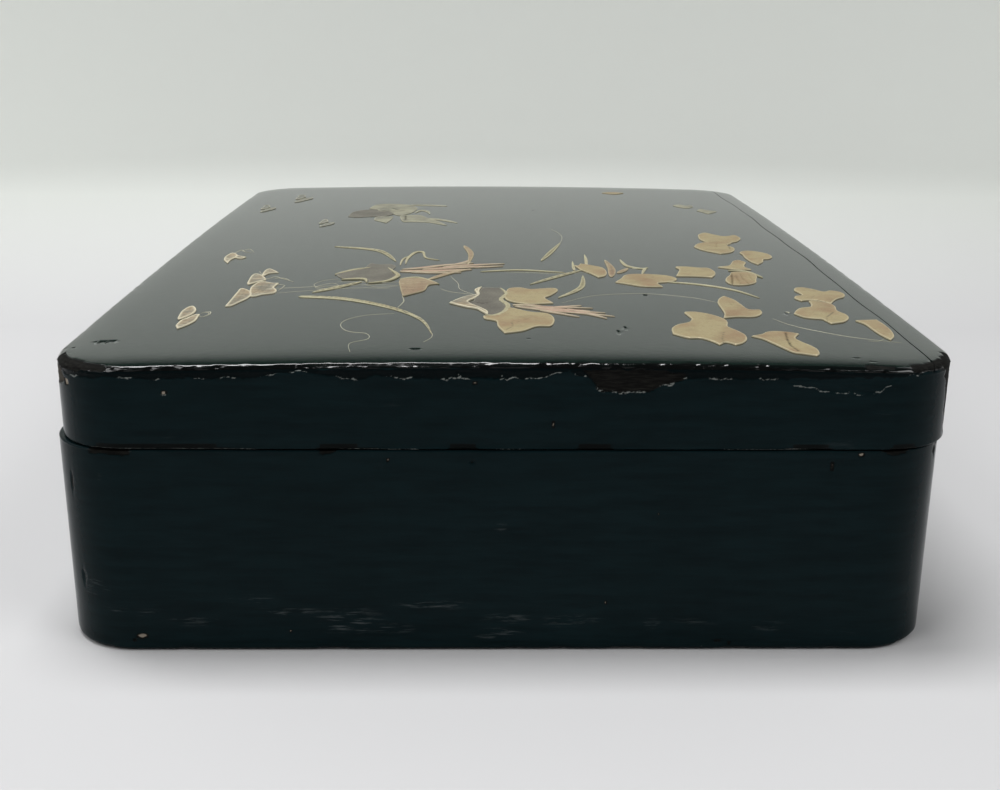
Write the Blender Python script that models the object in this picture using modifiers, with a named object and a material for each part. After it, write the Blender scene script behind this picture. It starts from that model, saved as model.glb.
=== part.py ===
"""Lacquer document box with a lift-off lid and raised gold ornament.

The box is wood under thick black lacquer: an open base with an upstanding lip inside its mouth, and a
slightly domed lid that drops over the lip and sits flush with the base. Low raised figures lie on the lid:
gold leaves, grass blades, grey trumpet flowers with pink tubes, and butterflies.
Metres, +Z up, the front towards -Y, the origin under the middle of the box.
"""
import math

import bmesh
import bpy
from mathutils import Vector

# Outside of the box
BOX_WIDTH = 0.270
BOX_DEPTH = 0.3815
BASE_HEIGHT = 0.065
LID_HEIGHT = 0.0239
CORNER_RADIUS = 0.023
DOME_RISE = 0.0019
SHOULDER_RISE = 0.0009
SHOULDER_REACH = 0.0045
LID_SHIFT = 0.0015

# Edges, rounded by the lacquer
RIM_ROUND = 0.0022
FOOT_ROUND = 0.0016
MOUTH_ROUND = 0.0006

# Walls
BASE_WALL = 0.0085
FLOOR_THICKNESS = 0.0070
TOP_THICKNESS = 0.0062
LIP_THICKNESS = 0.0030
LIP_RISE = 0.0070
LIP_DROP = 0.0120
LIP_CLEARANCE = 0.0020
REST_GAP = 0.0003

# The open joint between the lid's panel and its right-hand side board
JOINT_INSET = 0.0103
JOINT_WIDTH = 0.0005
JOINT_DEPTH = 0.0012
JOINT_WANDER = 0.0004
JOINT_STEPS = 26

# Raised ornament, drawn on a grid of squares that are a millimetre wide on a lid of this size
LEAF_RELIEF = 0.00080
GREY_RELIEF = 0.00055
GRASS_RELIEF = 0.00065
RIM_RELIEF = 0.00095
TUBE_RELIEF = 0.00075
BUTTERFLY_RELIEF = 0.00070
RELIEF_ROOT = 0.0006
TUBE_FRAY = 0.16
STROKE_LEAN = 0.8
SQUARES_ACROSS = 270.0
SQUARES_BACK = 381.5

# How finely curved surfaces are cut
CORNER_STEPS = 8
RIM_STEPS = 3
DOME_CELLS_ACROSS = 8
DOME_CELLS_BACK = 10
SHOULDER_CUTS = (0.0045, 0.0110)
LEAF_STEPS = 26
STROKE_STEPS = 9
CUT_MARGIN = 0.010

BLACK = (0.010, 0.013, 0.014)
GOLD = (0.56, 0.43, 0.24)
PALE_GOLD = (0.58, 0.52, 0.34)
GREY = (0.23, 0.22, 0.21)
PINK = (0.60, 0.36, 0.28)


def empty_scene():
    for item in list(bpy.data.objects):
        bpy.data.objects.remove(item, do_unlink=True)


def new_collection(name):
    collection = bpy.data.collections.new(name)
    bpy.context.scene.collection.children.link(collection)
    return collection


def material(name, colour, roughness, metallic=0.0):
    made = bpy.data.materials.new(name)
    made.use_nodes = True
    shader = made.node_tree.nodes["Principled BSDF"]
    shader.inputs["Base Color"].default_value = (*colour, 1.0)
    shader.inputs["Roughness"].default_value = roughness
    shader.inputs["Metallic"].default_value = metallic
    made.diffuse_color = (*colour, 1.0)
    return made


def edge_distance(x, y):
    """How far a place on the lid lies inside the box's outline."""
    over_x = abs(x) - BOX_WIDTH / 2 + CORNER_RADIUS
    over_y = abs(y) - BOX_DEPTH / 2 + CORNER_RADIUS
    beyond = math.hypot(max(over_x, 0), max(over_y, 0))
    return CORNER_RADIUS - beyond - min(max(over_x, over_y), 0)


def dome(x, y):
    """Height of the lid's low dome above its corners."""
    return DOME_RISE * (2 - (2 * x / BOX_WIDTH) ** 2 - (2 * y / BOX_DEPTH) ** 2)


def lid_surface(x, y):
    """Height of the lid's top above its corners: the dome, and a soft shoulder that falls to the edge."""
    return dome(x, y) + SHOULDER_RISE * (1 - math.exp(-edge_distance(x, y) / SHOULDER_REACH))


def level_edges(bm, height):
    return [e for e in bm.edges if all(abs(v.co.z - height) < 1e-6 for v in e.verts)]


def rounded_block(name, width, depth, height, corner, top_round=0.0, foot_round=0.0, rise=None):
    """A block standing on z = 0 with round upright corners, softened edges and, if rise is given, a top
    that is lifted by it."""
    bm = bmesh.new()
    bmesh.ops.create_cube(bm, size=1.0)
    bmesh.ops.scale(bm, vec=(width, depth, height), verts=bm.verts)
    bmesh.ops.translate(bm, vec=(0, 0, height / 2), verts=bm.verts)
    upright = [e for e in bm.edges if abs(e.verts[0].co.z - e.verts[1].co.z) > height / 2]
    bmesh.ops.bevel(
        bm, geom=upright, offset=corner, offset_type="OFFSET", segments=CORNER_STEPS, profile=0.5,
        affect="EDGES",
    )
    for radius, level in ((top_round, height), (foot_round, 0.0)):
        if radius:
            bmesh.ops.bevel(
                bm, geom=level_edges(bm, level), offset=radius, offset_type="OFFSET", segments=RIM_STEPS,
                profile=0.5, affect="EDGES",
            )
    if rise:
        for direction, size, cells in (
            (Vector((1, 0, 0)), width, DOME_CELLS_ACROSS), (Vector((0, 1, 0)), depth, DOME_CELLS_BACK),
        ):
            places = [size * (k / cells - 0.5) for k in range(1, cells)]
            if rise is lid_surface:
                places += [side * (size / 2 - inset) for side in (-1, 1) for inset in SHOULDER_CUTS]
            for place in places:
                bmesh.ops.bisect_plane(
                    bm, geom=bm.verts[:] + bm.edges[:] + bm.faces[:], plane_co=direction * place,
                    plane_no=direction,
                )
        for vertex in bm.verts:
            if vertex.co.z > height / 2:
                vertex.co.z += rise(vertex.co.x, vertex.co.y)
    mesh = bpy.data.meshes.new(name)
    bm.to_mesh(mesh)
    bm.free()
    return bpy.data.objects.new(name, mesh)


def boolean(target, tool, operation):
    modifier = target.modifiers.new(f"{operation.lower()}_{tool.name}", "BOOLEAN")
    modifier.operation = operation
    modifier.object = tool
    modifier.solver = "EXACT"


def add_tool(tools, tool, parent, location):
    """Puts a cutter, or a shape to be joined, beside the piece that it works on."""
    tools.objects.link(tool)
    tool.parent = parent
    tool.location = location
    tool.hide_render = True
    tool.display_type = "WIRE"
    return tool


def add_piece(parts, piece, parent, location, finish):
    parts.objects.link(piece)
    piece.parent = parent
    piece.location = location
    piece.data.materials.append(finish)
    piece.data.shade_smooth()
    piece.data.set_sharp_from_angle(angle=math.radians(35))
    return piece


def inset_block(name, inset, height, rise=None):
    """A rounded block that follows the box's outline, further in by the inset."""
    return rounded_block(
        name, BOX_WIDTH - 2 * inset, BOX_DEPTH - 2 * inset, height, CORNER_RADIUS - inset, rise=rise
    )


def make_base(parts, tools, root, finish):
    block = rounded_block(
        "base", BOX_WIDTH, BOX_DEPTH, BASE_HEIGHT, CORNER_RADIUS, MOUTH_ROUND, FOOT_ROUND
    )
    base = add_piece(parts, block, root, (-LID_SHIFT / 2, 0, 0), finish)
    lip_bottom = BASE_HEIGHT - LIP_DROP
    lip = inset_block("lip_block", BASE_WALL, LIP_DROP + LIP_RISE)
    boolean(base, add_tool(tools, lip, base, (0, 0, lip_bottom)), "UNION")
    inside = inset_block("lower_hollow", BASE_WALL, lip_bottom - FLOOR_THICKNESS)
    boolean(base, add_tool(tools, inside, base, (0, 0, FLOOR_THICKNESS)), "DIFFERENCE")
    mouth = inset_block("mouth_hollow", BASE_WALL + LIP_THICKNESS, LIP_DROP + LIP_RISE + 2 * CUT_MARGIN)
    boolean(base, add_tool(tools, mouth, base, (0, 0, lip_bottom - CUT_MARGIN)), "DIFFERENCE")
    return base


def joint_cutter():
    """A thin upright ribbon along the open joint, following the dome."""
    curve = bpy.data.curves.new("joint_line", "CURVE")
    curve.dimensions = "3D"
    curve.twist_mode = "Z_UP"
    curve.extrude = JOINT_DEPTH
    spline = curve.splines.new("POLY")
    spline.points.add(JOINT_STEPS)
    for k, point in enumerate(spline.points):
        share = k / JOINT_STEPS
        y = (share - 0.5) * (BOX_DEPTH + RIM_ROUND)
        sway = math.sin(19 * share) + 0.6 * math.sin(47 * share + 1)
        x = BOX_WIDTH / 2 - JOINT_INSET + JOINT_WANDER * sway
        point.co = (x, y, lid_surface(x, y), 1)
    line = bpy.data.objects.new("joint_line", curve)
    bpy.context.scene.collection.objects.link(line)
    graph = bpy.context.evaluated_depsgraph_get()
    mesh = bpy.data.meshes.new_from_object(line.evaluated_get(graph))
    ribbon = bpy.data.objects.new("joint_ribbon", mesh)
    bpy.data.objects.remove(line, do_unlink=True)
    thicken = ribbon.modifiers.new("thicken", "SOLIDIFY")
    thicken.thickness = JOINT_WIDTH
    thicken.offset = 0
    return ribbon


def make_lid(parts, tools, root, finish):
    block = rounded_block(
        "lid", BOX_WIDTH, BOX_DEPTH, LID_HEIGHT, CORNER_RADIUS, RIM_ROUND, MOUTH_ROUND, lid_surface
    )
    lid = add_piece(parts, block, root, (LID_SHIFT / 2, 0, BASE_HEIGHT + REST_GAP), finish)
    wall = BASE_WALL - LIP_CLEARANCE
    hollow = inset_block("lid_hollow", wall, CUT_MARGIN + LID_HEIGHT - TOP_THICKNESS, dome)
    boolean(lid, add_tool(tools, hollow, lid, (0, 0, -CUT_MARGIN)), "DIFFERENCE")
    boolean(lid, add_tool(tools, joint_cutter(), lid, (0, 0, LID_HEIGHT)), "DIFFERENCE")
    return lid


def lobed(centre, body, lobes, steps=LEAF_STEPS):
    """A leaf or petal: a round body with lobes, each with a heading, a reach and a spread in degrees."""
    points = []
    for k in range(steps):
        heading = 360 * k / steps
        reach = body
        for towards, length, spread in lobes:
            off = (heading - towards + 180) % 360 - 180
            reach = max(reach, body + (length - body) * math.exp(-((off / spread) ** 2)))
        angle = math.radians(heading)
        points.append((centre[0] + reach * math.cos(angle), centre[1] + reach * math.sin(angle)))
    return points


def route(points, share):
    """A place on a smooth line through the points, and the line's heading there."""
    spans = len(points) - 1
    first = min(int(share * spans), spans - 1)
    t = share * spans - first
    p0, p1, p2, p3 = (Vector(points[min(max(first + k, 0), spans)]) for k in (-1, 0, 1, 2))
    start, end = (p2 - p0) / 2, (p3 - p1) / 2
    bend = 3 * (p2 - p1) - 2 * start - end
    twist = 2 * (p1 - p2) + start + end
    return p1 + t * (start + t * (bend + t * twist)), start + t * (2 * bend + 3 * t * twist)


def stroke(points, width, fray=0.0, steps=STROKE_STEPS):
    """A brush stroke with pointed ends: a blade of grass, a flower's rim or, frayed, a feathery tube."""
    sides = ([], [])
    for k in range(1, steps):
        share = k / steps
        place, heading = route(points, share)
        half = width / 2 * math.sin(math.pi * share ** STROKE_LEAN) ** 0.7 * (1 + fray * (-1) ** k)
        across = Vector((heading.y, -heading.x)).normalized() * half
        sides[0].append(tuple(place + across))
        sides[1].append(tuple(place - across))
    return [tuple(points[0])] + sides[0] + [tuple(points[-1])] + sides[1][::-1]


def raised_figure(name, outline, relief):
    """A plate with this outline, bent to the dome and rooted in it. Grid squares stretch with the lid."""
    curve = bpy.data.curves.new(name, "CURVE")
    curve.dimensions = "2D"
    curve.fill_mode = "BOTH"
    curve.extrude = (relief + RELIEF_ROOT) / 2
    spline = curve.splines.new("POLY")
    spline.points.add(len(outline) - 1)
    spline.use_cyclic_u = True
    for point, (across, back) in zip(spline.points, outline):
        point.co = (across * BOX_WIDTH / SQUARES_ACROSS, back * BOX_DEPTH / SQUARES_BACK, 0, 1)
    flat = bpy.data.objects.new(name, curve)
    bpy.context.scene.collection.objects.link(flat)
    graph = bpy.context.evaluated_depsgraph_get()
    mesh = bpy.data.meshes.new_from_object(flat.evaluated_get(graph))
    bpy.data.objects.remove(flat, do_unlink=True)
    bm = bmesh.new()
    bm.from_mesh(mesh)
    bmesh.ops.remove_doubles(bm, verts=bm.verts, dist=0.00001)
    for vertex in bm.verts:
        vertex.co.z += lid_surface(vertex.co.x, vertex.co.y) + (relief - RELIEF_ROOT) / 2
    bmesh.ops.recalc_face_normals(bm, faces=bm.faces)
    bm.to_mesh(mesh)
    bm.free()
    mesh.name = name
    return bpy.data.objects.new(name, mesh)


# Where the figures lie, in squares of the drawing grid from the middle of the lid.
# A leaf has a centre, the size of its body, and lobes of a heading, a reach and a spread.
GOLD_LEAVES = [
    ((64, -155), 9.5, [(97, 23, 22), (188, 12.5, 30), (-85, 17, 22), (-25, 11, 30)]),
    ((78, -129), 5.5, [(92, 20.5, 15), (10, 8.5, 25), (-122, 11.5, 22), (-25, 8, 30)]),
    ((85, -165), 6.5, [(160, 9.5, 20), (48, 9.5, 25), (-68, 17.5, 22)]),
    ((111, -101), 6.5, [(112, 11, 25), (15, 11, 25), (222, 10, 25), (-72, 12, 20)]),
    ((107, -130), 7, [(80, 16.5, 20), (190, 10, 28), (-98, 13.5, 18), (-35, 9, 30)]),
    ((120, -146), 3.3, [(118, 9, 20), (70, 9, 20), (-93, 15.5, 15)]),
    ((54, -82), 8, [(207, 13, 22), (95, 9, 30), (20, 10.5, 30), (-75, 13, 20)]),
    ((74, -67), 7, [(130, 9, 25), (35, 8.5, 25), (225, 11, 18), (-55, 9.5, 18)]),
    ((89, -77), 5.5, [(95, 12, 25), (-105, 12, 25), (-70, 11.5, 25)]),
    ((92, -54), 4, [(75, 11.5, 18), (205, 6.5, 20), (-55, 7.5, 25)]),
    ((104, -32), 5.5, [(110, 9.5, 30), (-20, 7.5, 30), (-98, 16, 18)]),
    ((97, 8), 6.5, [(113, 13, 25), (40, 12, 22), (-98, 13.5, 20)]),
    ((92, -17), 6.5, [(150, 10, 28), (-5, 8, 28), (-92, 11.5, 22), (85, 8, 25)]),
    ((9, -108), 8, [(110, 12, 20), (42, 14.5, 18), (-58, 13.5, 16), (222, 10.5, 22)]),
    ((5, -144), 8.5, [(97, 15, 18), (167, 11, 20), (20, 11, 25), (-40, 12, 18), (-105, 16, 20)]),
    ((35, -66), 4, [(108, 11, 22), (-78, 12, 20)]),
    ((104, 107), 5, [(90, 10, 30), (-80, 7, 30)]),
    ((107, 87), 6, [(160, 8, 25), (-15, 8.5, 25), (-95, 9, 25)]),
    ((65, 156), 4.5, [(0, 6, 40), (180, 5.5, 40)]),
    ((-59, 91), 5.5, [(100, 13, 30), (-70, 10, 30)]),
    ((-47, 89), 4, [(85, 18, 20), (-95, 17, 20)]),
    ((-55, 56), 3.8, [(110, 11, 25), (-80, 13, 25)]),
    ((-44, 61), 2.8, [(90, 11, 25), (-90, 11, 25)]),
]
GREY_LEAVES = [
    ((-5, -116), 6.5, [(93, 20, 22), (195, 8, 35), (-88, 19, 22)]),
    ((-50, -71), 8.5, [(75, 19, 22), (185, 11, 28), (-80, 16.5, 28), (-15, 10, 30)]),
    ((-64, 74), 6, [(150, 9.5, 30), (-20, 8, 30), (220, 9, 25)]),
    ((-35, 99), 4.5, [(10, 8.5, 28), (175, 7, 30)]),
]
PINK_LEAVES = [((-23, -65), 5, [(185, 14.5, 18), (60, 8, 25), (-10, 9, 30)])]
# A stroke has the places that it passes through, and its width.
GRASS_BLADES = [
    ([(-71, -110), (-55, -114), (-38, -127), (-27, -143), (-22.5, -162)], 4.6),
    ([(-69, -17), (-50, -27), (-41, -50)], 3.2),
    ([(-67, -104), (-59, -96), (-51, -87)], 3.2),
    ([(10, -92), (21, -78), (31, -66)], 3.2),
    ([(19, -113), (28, -97), (30, -76)], 3.2),
    ([(16, -49), (21, -30), (26, -9)], 3.4),
    ([(-15, -20), (-12, -40), (-15, -57)], 3.2),
    ([(33, -58), (34, -46), (34, -37)], 2.0),
    ([(28, -67), (28, -60), (28, -52)], 1.8),
    ([(41, -77), (42.5, -62), (41.5, -47)], 3.6),
    ([(49, -48), (49.5, -57), (50, -63)], 2.4),
    ([(56, -61), (54.5, -66), (53, -72)], 2.6),
    ([(-29, -83), (-25, -78), (-21, -72)], 2.8),
    ([(-36, -84), (-36, -96), (-34.5, -109)], 3.2),
    ([(-27, -85), (-28, -97), (-29, -108)], 2.0),
    ([(-8, -70), (7, -67.5), (22, -71)], 1.8),
    ([(60, -86), (76, -91), (90, -108)], 1.8),
    ([(-38, 76), (-31, 54), (-24, 35)], 4.4),
]
FLOWER_RIMS = [
    ([(-9, -96), (-7.5, -105), (-11, -111), (-17, -118), (-12, -126), (-6, -130), (-6, -137)], 2.6),
    ([(-0.5, -98), (1, -107), (-0.5, -114), (1.5, -121), (0, -131), (-5, -137)], 2.0),
    ([(-61, -76), (-59, -68), (-53, -63)], 2.4),
    ([(-41, -68), (-39, -78), (-42, -85), (-48, -88)], 2.0),
    ([(88, -63), (95, -65), (98, -74)], 2.2),
]
FLOWER_TUBES = [([(3, -126), (19, -130), (36, -138)], 10), ([(-13, -61), (-7, -57), (1, -52)], 7)]
# A butterfly has a centre, a length and a heading.
BUTTERFLIES = [
    ((-103, -136), 27, 100), ((-91, -109), 28, 92), ((-87, -84), 44, 96), ((-108, -35), 32, 97),
    ((-103, 134), 32, 90), ((-116, 97), 24, 90), ((-80, 46), 20, 75),
]


def butterfly(centre, length, heading):
    """Narrow wings in two pairs about a slim body."""
    wings = [(12, 0.50, 11), (-18, 0.40, 12), (163, 0.44, 12), (-168, 0.50, 11)]
    lobes = [(heading + turn, reach * length, spread) for turn, reach, spread in wings]
    return lobed(centre, 0.13 * length, lobes)


def make_ornament(lid):
    """Builds the raised figures and joins them to the lid, each with its own finish."""
    figures = new_collection("raised_ornament")
    gold = material("gold_maki_e", GOLD, 0.42, 0.5)
    pale = material("pale_gold", PALE_GOLD, 0.40, 0.5)
    grey = material("grey_lacquer", GREY, 0.35, 0.3)
    pink = material("pink_gold", PINK, 0.45, 0.3)
    kinds = [
        ("gold_leaf", gold, LEAF_RELIEF, [lobed(*leaf) for leaf in GOLD_LEAVES]),
        ("grey_leaf", grey, GREY_RELIEF, [lobed(*leaf) for leaf in GREY_LEAVES]),
        ("pink_leaf", pink, LEAF_RELIEF, [lobed(*leaf) for leaf in PINK_LEAVES]),
        ("grass_blade", pale, GRASS_RELIEF, [stroke(*blade) for blade in GRASS_BLADES]),
        ("flower_rim", pale, RIM_RELIEF, [stroke(*rim) for rim in FLOWER_RIMS]),
        ("flower_tube", pink, TUBE_RELIEF, [stroke(*tube, fray=TUBE_FRAY) for tube in FLOWER_TUBES]),
        ("butterfly", pale, BUTTERFLY_RELIEF, [butterfly(*place) for place in BUTTERFLIES]),
    ]
    for kind, finish, relief, outlines in kinds:
        for number, outline in enumerate(outlines, start=1):
            figure = raised_figure(f"{kind}_{number}", outline, relief)
            figure.data.materials.append(finish)
            add_tool(figures, figure, lid, (0, 0, LID_HEIGHT))
    join = lid.modifiers.new("join_ornament", "BOOLEAN")
    join.operation = "UNION"
    join.operand_type = "COLLECTION"
    join.collection = figures
    join.solver = "EXACT"
    join.material_mode = "TRANSFER"


def main():
    empty_scene()
    parts = new_collection("lacquer_box")
    tools = new_collection("cutters")
    root = bpy.data.objects.new("box_frame", None)
    parts.objects.link(root)
    lacquer = material("black_lacquer", BLACK, 0.22)
    make_base(parts, tools, root, lacquer)
    lid = make_lid(parts, tools, root, lacquer)
    make_ornament(lid)


main()
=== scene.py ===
"""Finishes and fine relief of the lacquer box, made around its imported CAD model.

The lid and the base are remade as fine meshes on the forms of their solids, with the wear that the box
shows: flakes and losses along the lid's front edge, dents, nicks and the open joint of the right-hand
board. The ornament is laid over it as separate plates with rolled edges, splits and veins.
Places on the box are in millimetres until a mesh is made, and in metres after. Up is +Z, the front -Y.
"""

import math

import bpy
import numpy as np
from mathutils import Matrix, Vector
from mathutils.geometry import delaunay_2d_cdt


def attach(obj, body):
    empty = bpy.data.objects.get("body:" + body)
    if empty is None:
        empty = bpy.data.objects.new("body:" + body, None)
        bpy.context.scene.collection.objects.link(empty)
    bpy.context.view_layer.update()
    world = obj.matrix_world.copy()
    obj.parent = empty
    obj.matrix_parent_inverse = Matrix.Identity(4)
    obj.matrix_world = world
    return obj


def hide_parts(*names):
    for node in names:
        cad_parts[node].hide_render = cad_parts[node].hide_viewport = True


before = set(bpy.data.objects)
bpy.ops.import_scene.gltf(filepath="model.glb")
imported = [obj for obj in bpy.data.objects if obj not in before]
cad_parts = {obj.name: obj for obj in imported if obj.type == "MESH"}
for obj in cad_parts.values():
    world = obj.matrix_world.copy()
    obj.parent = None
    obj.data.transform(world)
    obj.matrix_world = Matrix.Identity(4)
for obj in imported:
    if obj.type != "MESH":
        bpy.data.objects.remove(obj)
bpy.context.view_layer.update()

MM = 0.001

# The box, as its solids have it, in millimetres
BOX_WIDTH = 270.0
BOX_DEPTH = 381.5
BASE_HEIGHT = 65.0
LID_HEIGHT = 23.9
CORNER_RADIUS = 23.0
DOME_RISE = 1.9
SHOULDER_RISE = 0.9
SHOULDER_REACH = 4.5
LID_SHIFT = 1.5
RIM_ROUND = 2.2
FOOT_ROUND = 1.6
MOUTH_ROUND = 0.6
LIP_ROUND = 0.5
BASE_WALL = 8.5
FLOOR_THICKNESS = 7.0
TOP_THICKNESS = 6.2
LIP_THICKNESS = 3.0
LIP_RISE = 7.0
LIP_DROP = 12.0
LIP_CLEARANCE = 2.0
REST_GAP = 0.3
COVE = 1.2
LID_PLACE = (LID_SHIFT / 2, 0, BASE_HEIGHT + REST_GAP)
BASE_PLACE = (-LID_SHIFT / 2, 0, 0)

# The open joint between the lid's panel and its right-hand side board, and where the outline crosses it
JOINT_INSET = 10.3
JOINT_WANDER = 0.4
JOINT_HALF_WIDTH = 0.21
JOINT_DEPTH = 0.9
JOINT_FRONT = 124.6
JOINT_BACK = 507.2

# The outline's straight halves, its quarter turn and its whole length
SIDE_X = BOX_WIDTH / 2 - CORNER_RADIUS
SIDE_Y = BOX_DEPTH / 2 - CORNER_RADIUS
TURN = math.pi / 2 * CORNER_RADIUS
AROUND = 4 * (SIDE_X + SIDE_Y + TURN)
TOP_RING = 3.6

# Steps of the meshes, finer along the front, and how near a grid comes to its edge as a share of its step
GRID_GAP = 0.55
PLATE_GAP = 0.45
LID_STEP, LID_FRONT = 2.4, (0, 147, 0.5)
BASE_STEP, BASE_FRONT = 4.0, (0, 150, 1.1)
TOP_STEP = 3.0
TOP_RINGS = [(4.6, 3), (6.0, 4), (8.0, 5)]
INSIDE_STEP = 16.0
JOINT_STEPS = 260
JOINT_ENDS = 9.5
PLATE_STEP = 0.75
ROW_SHARE = 0.87
LEAF_STEPS = 150
STROKE_STEPS = 46
GROOVE_STEPS = 12
HAIR_STEPS = 12
HAIR_SIDES = 6

# The angles in degrees beyond which an edge is shaded sharp
SHELL_SHARP = 40
PLATE_SHARP = 50

# Whole numbers that stir a place and a seed into an even spread, kept to 32 bits
STIR_COLUMN, STIR_ROW, STIR_SEED, STIR_AGAIN = 374761393, 668265263, 974634777, 1274126177
BITS = 0xFFFFFFFF
FAR = 1e9
TINY = 1e-12


def smooth(share):
    """A soft step from 0 to 1."""
    share = np.clip(share, 0, 1)
    return share * share * (3 - 2 * share)


def lattice(column, row, seed):
    """A repeatable number from 0 to 1 for each whole-numbered place."""
    mixed = (column * STIR_COLUMN + row * STIR_ROW + seed * STIR_SEED) & BITS
    mixed = ((mixed ^ (mixed >> 13)) * STIR_AGAIN) & BITS
    return (mixed ^ (mixed >> 16)) / BITS


def noise(x, y, size, seed):
    """Smooth noise from -1 to 1 with hills about this size."""
    x, y = np.broadcast_arrays(np.asarray(x, float) / size, np.asarray(y, float) / size)
    column, row = np.floor(x).astype(np.int64), np.floor(y).astype(np.int64)
    across, up = smooth(x - column), smooth(y - row)
    low = lattice(column, row, seed) * (1 - across) + lattice(column + 1, row, seed) * across
    high = lattice(column, row + 1, seed) * (1 - across) + lattice(column + 1, row + 1, seed) * across
    return 2 * (low * (1 - up) + high * up) - 1


def edge_distance(x, y):
    """How far a place on the lid lies inside the box's outline."""
    over_x = np.abs(x) - SIDE_X
    over_y = np.abs(y) - SIDE_Y
    beyond = np.hypot(np.maximum(over_x, 0), np.maximum(over_y, 0))
    return CORNER_RADIUS - beyond - np.minimum(np.maximum(over_x, over_y), 0)


def lid_surface(x, y):
    """Height of the lid's top above its corners: a low dome, and a soft shoulder at the edge."""
    dome = DOME_RISE * (2 - (2 * x / BOX_WIDTH) ** 2 - (2 * y / BOX_DEPTH) ** 2)
    inside = np.maximum(edge_distance(x, y), 0)
    return dome + SHOULDER_RISE * (1 - np.exp(-inside / SHOULDER_REACH))


def level_surface(x, y):
    """A surface without any lift, for the base."""
    return np.zeros_like(x)


def joint_line(y):
    """Where the open joint runs on the lid."""
    share = y / (BOX_DEPTH + RIM_ROUND) + 0.5
    sway = np.sin(19 * share) + 0.6 * np.sin(47 * share + 1)
    return BOX_WIDTH / 2 - JOINT_INSET + JOINT_WANDER * sway


def joint_half_width(y):
    return JOINT_HALF_WIDTH * (1 + 0.35 * noise(y, 0, 38, 41))


def outline_at(along):
    """Centres of rounding and outward ways for places along the outline, from the front's middle."""
    run = np.mod(along + SIDE_X, AROUND)
    corners = [np.array(c) * (SIDE_X, SIDE_Y) for c in ((-1, -1), (1, -1), (1, 1), (-1, 1))]
    centres, headings = np.zeros((len(run), 2)), np.zeros(len(run))
    start = 0.0
    for k in range(4):
        here, there = corners[k], corners[(k + 1) % 4]
        length = np.abs(there - here).sum()
        side = (run >= start) & (run <= start + length)
        centres[side] = here + ((run[side] - start) / length)[:, None] * (there - here)
        headings[side] = (k - 1) * math.pi / 2
        start += length
        corner = (run > start) & (run <= start + TURN)
        centres[corner] = there
        headings[corner] = (k - 1) * math.pi / 2 + (run[corner] - start) / CORNER_RADIUS
        start += TURN
    return centres, np.stack([np.cos(headings), np.sin(headings)], -1)


def inset_places(along, inset):
    """The x and y of places this far inside the outline."""
    centres, ways = outline_at(along)
    return (centres + ways * (CORNER_RADIUS - inset)).T


def graded(low, high, step, spots=()):
    """Places from low to high, closer together near each spot of a centre, a reach and a finer step."""
    places = [low]
    while places[-1] < high:
        near = [fine for centre, reach, fine in spots if abs(places[-1] - centre) < reach]
        places.append(places[-1] + min([step] + near))
    places[-1] = high
    return np.array(places)


def pairs(x, y):
    return list(zip(x.tolist(), y.tolist()))


def turned(items):
    """The items with the first one moved to the end."""
    return items[1:] + items[:1]


def line_distance(x, y, points):
    """Distance from places to a line through points."""
    best = np.full(x.shape, FAR)
    for (x0, y0), (x1, y1) in zip(points[:-1], points[1:]):
        run_x, run_y = x1 - x0, y1 - y0
        square = max(run_x ** 2 + run_y ** 2, TINY)
        t = np.clip(((x - x0) * run_x + (y - y0) * run_y) / square, 0, 1)
        best = np.minimum(best, np.hypot(x - x0 - t * run_x, y - y0 - t * run_y))
    return best


def outline_distance(x, y, outline):
    return line_distance(x, y, outline + outline[:1])


def depth_inside(x, y, outline):
    """How far inside a closed outline places lie, and as a negative number how far outside."""
    inside = np.zeros(x.shape, bool)
    for (x0, y0), (x1, y1) in zip(outline, turned(outline)):
        if y0 != y1:
            inside ^= ((y0 > y) != (y1 > y)) & (x < x0 + (y - y0) / (y1 - y0) * (x1 - x0))
    away = outline_distance(x, y, outline)
    return np.where(inside, away, -away)


def triangulate(ring, free, lines=()):
    """Fills a closed ring. Gives the places, each one's number in the ring or -1, and triangles."""
    places = [Vector(p) for p in ring] + [Vector(p) for p in free]
    edges = []
    for line in lines:
        first = len(places)
        places += [Vector(p) for p in line]
        edges += [(first + k, first + k + 1) for k in range(len(line) - 1)]
    found = delaunay_2d_cdt(places, edges, [list(range(len(ring)))], 1, 1e-5)
    numbers = [min(source, default=-1) for source in found[3]]
    return [tuple(p) for p in found[0]], [n if 0 <= n < len(ring) else -1 for n in numbers], found[2]


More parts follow.
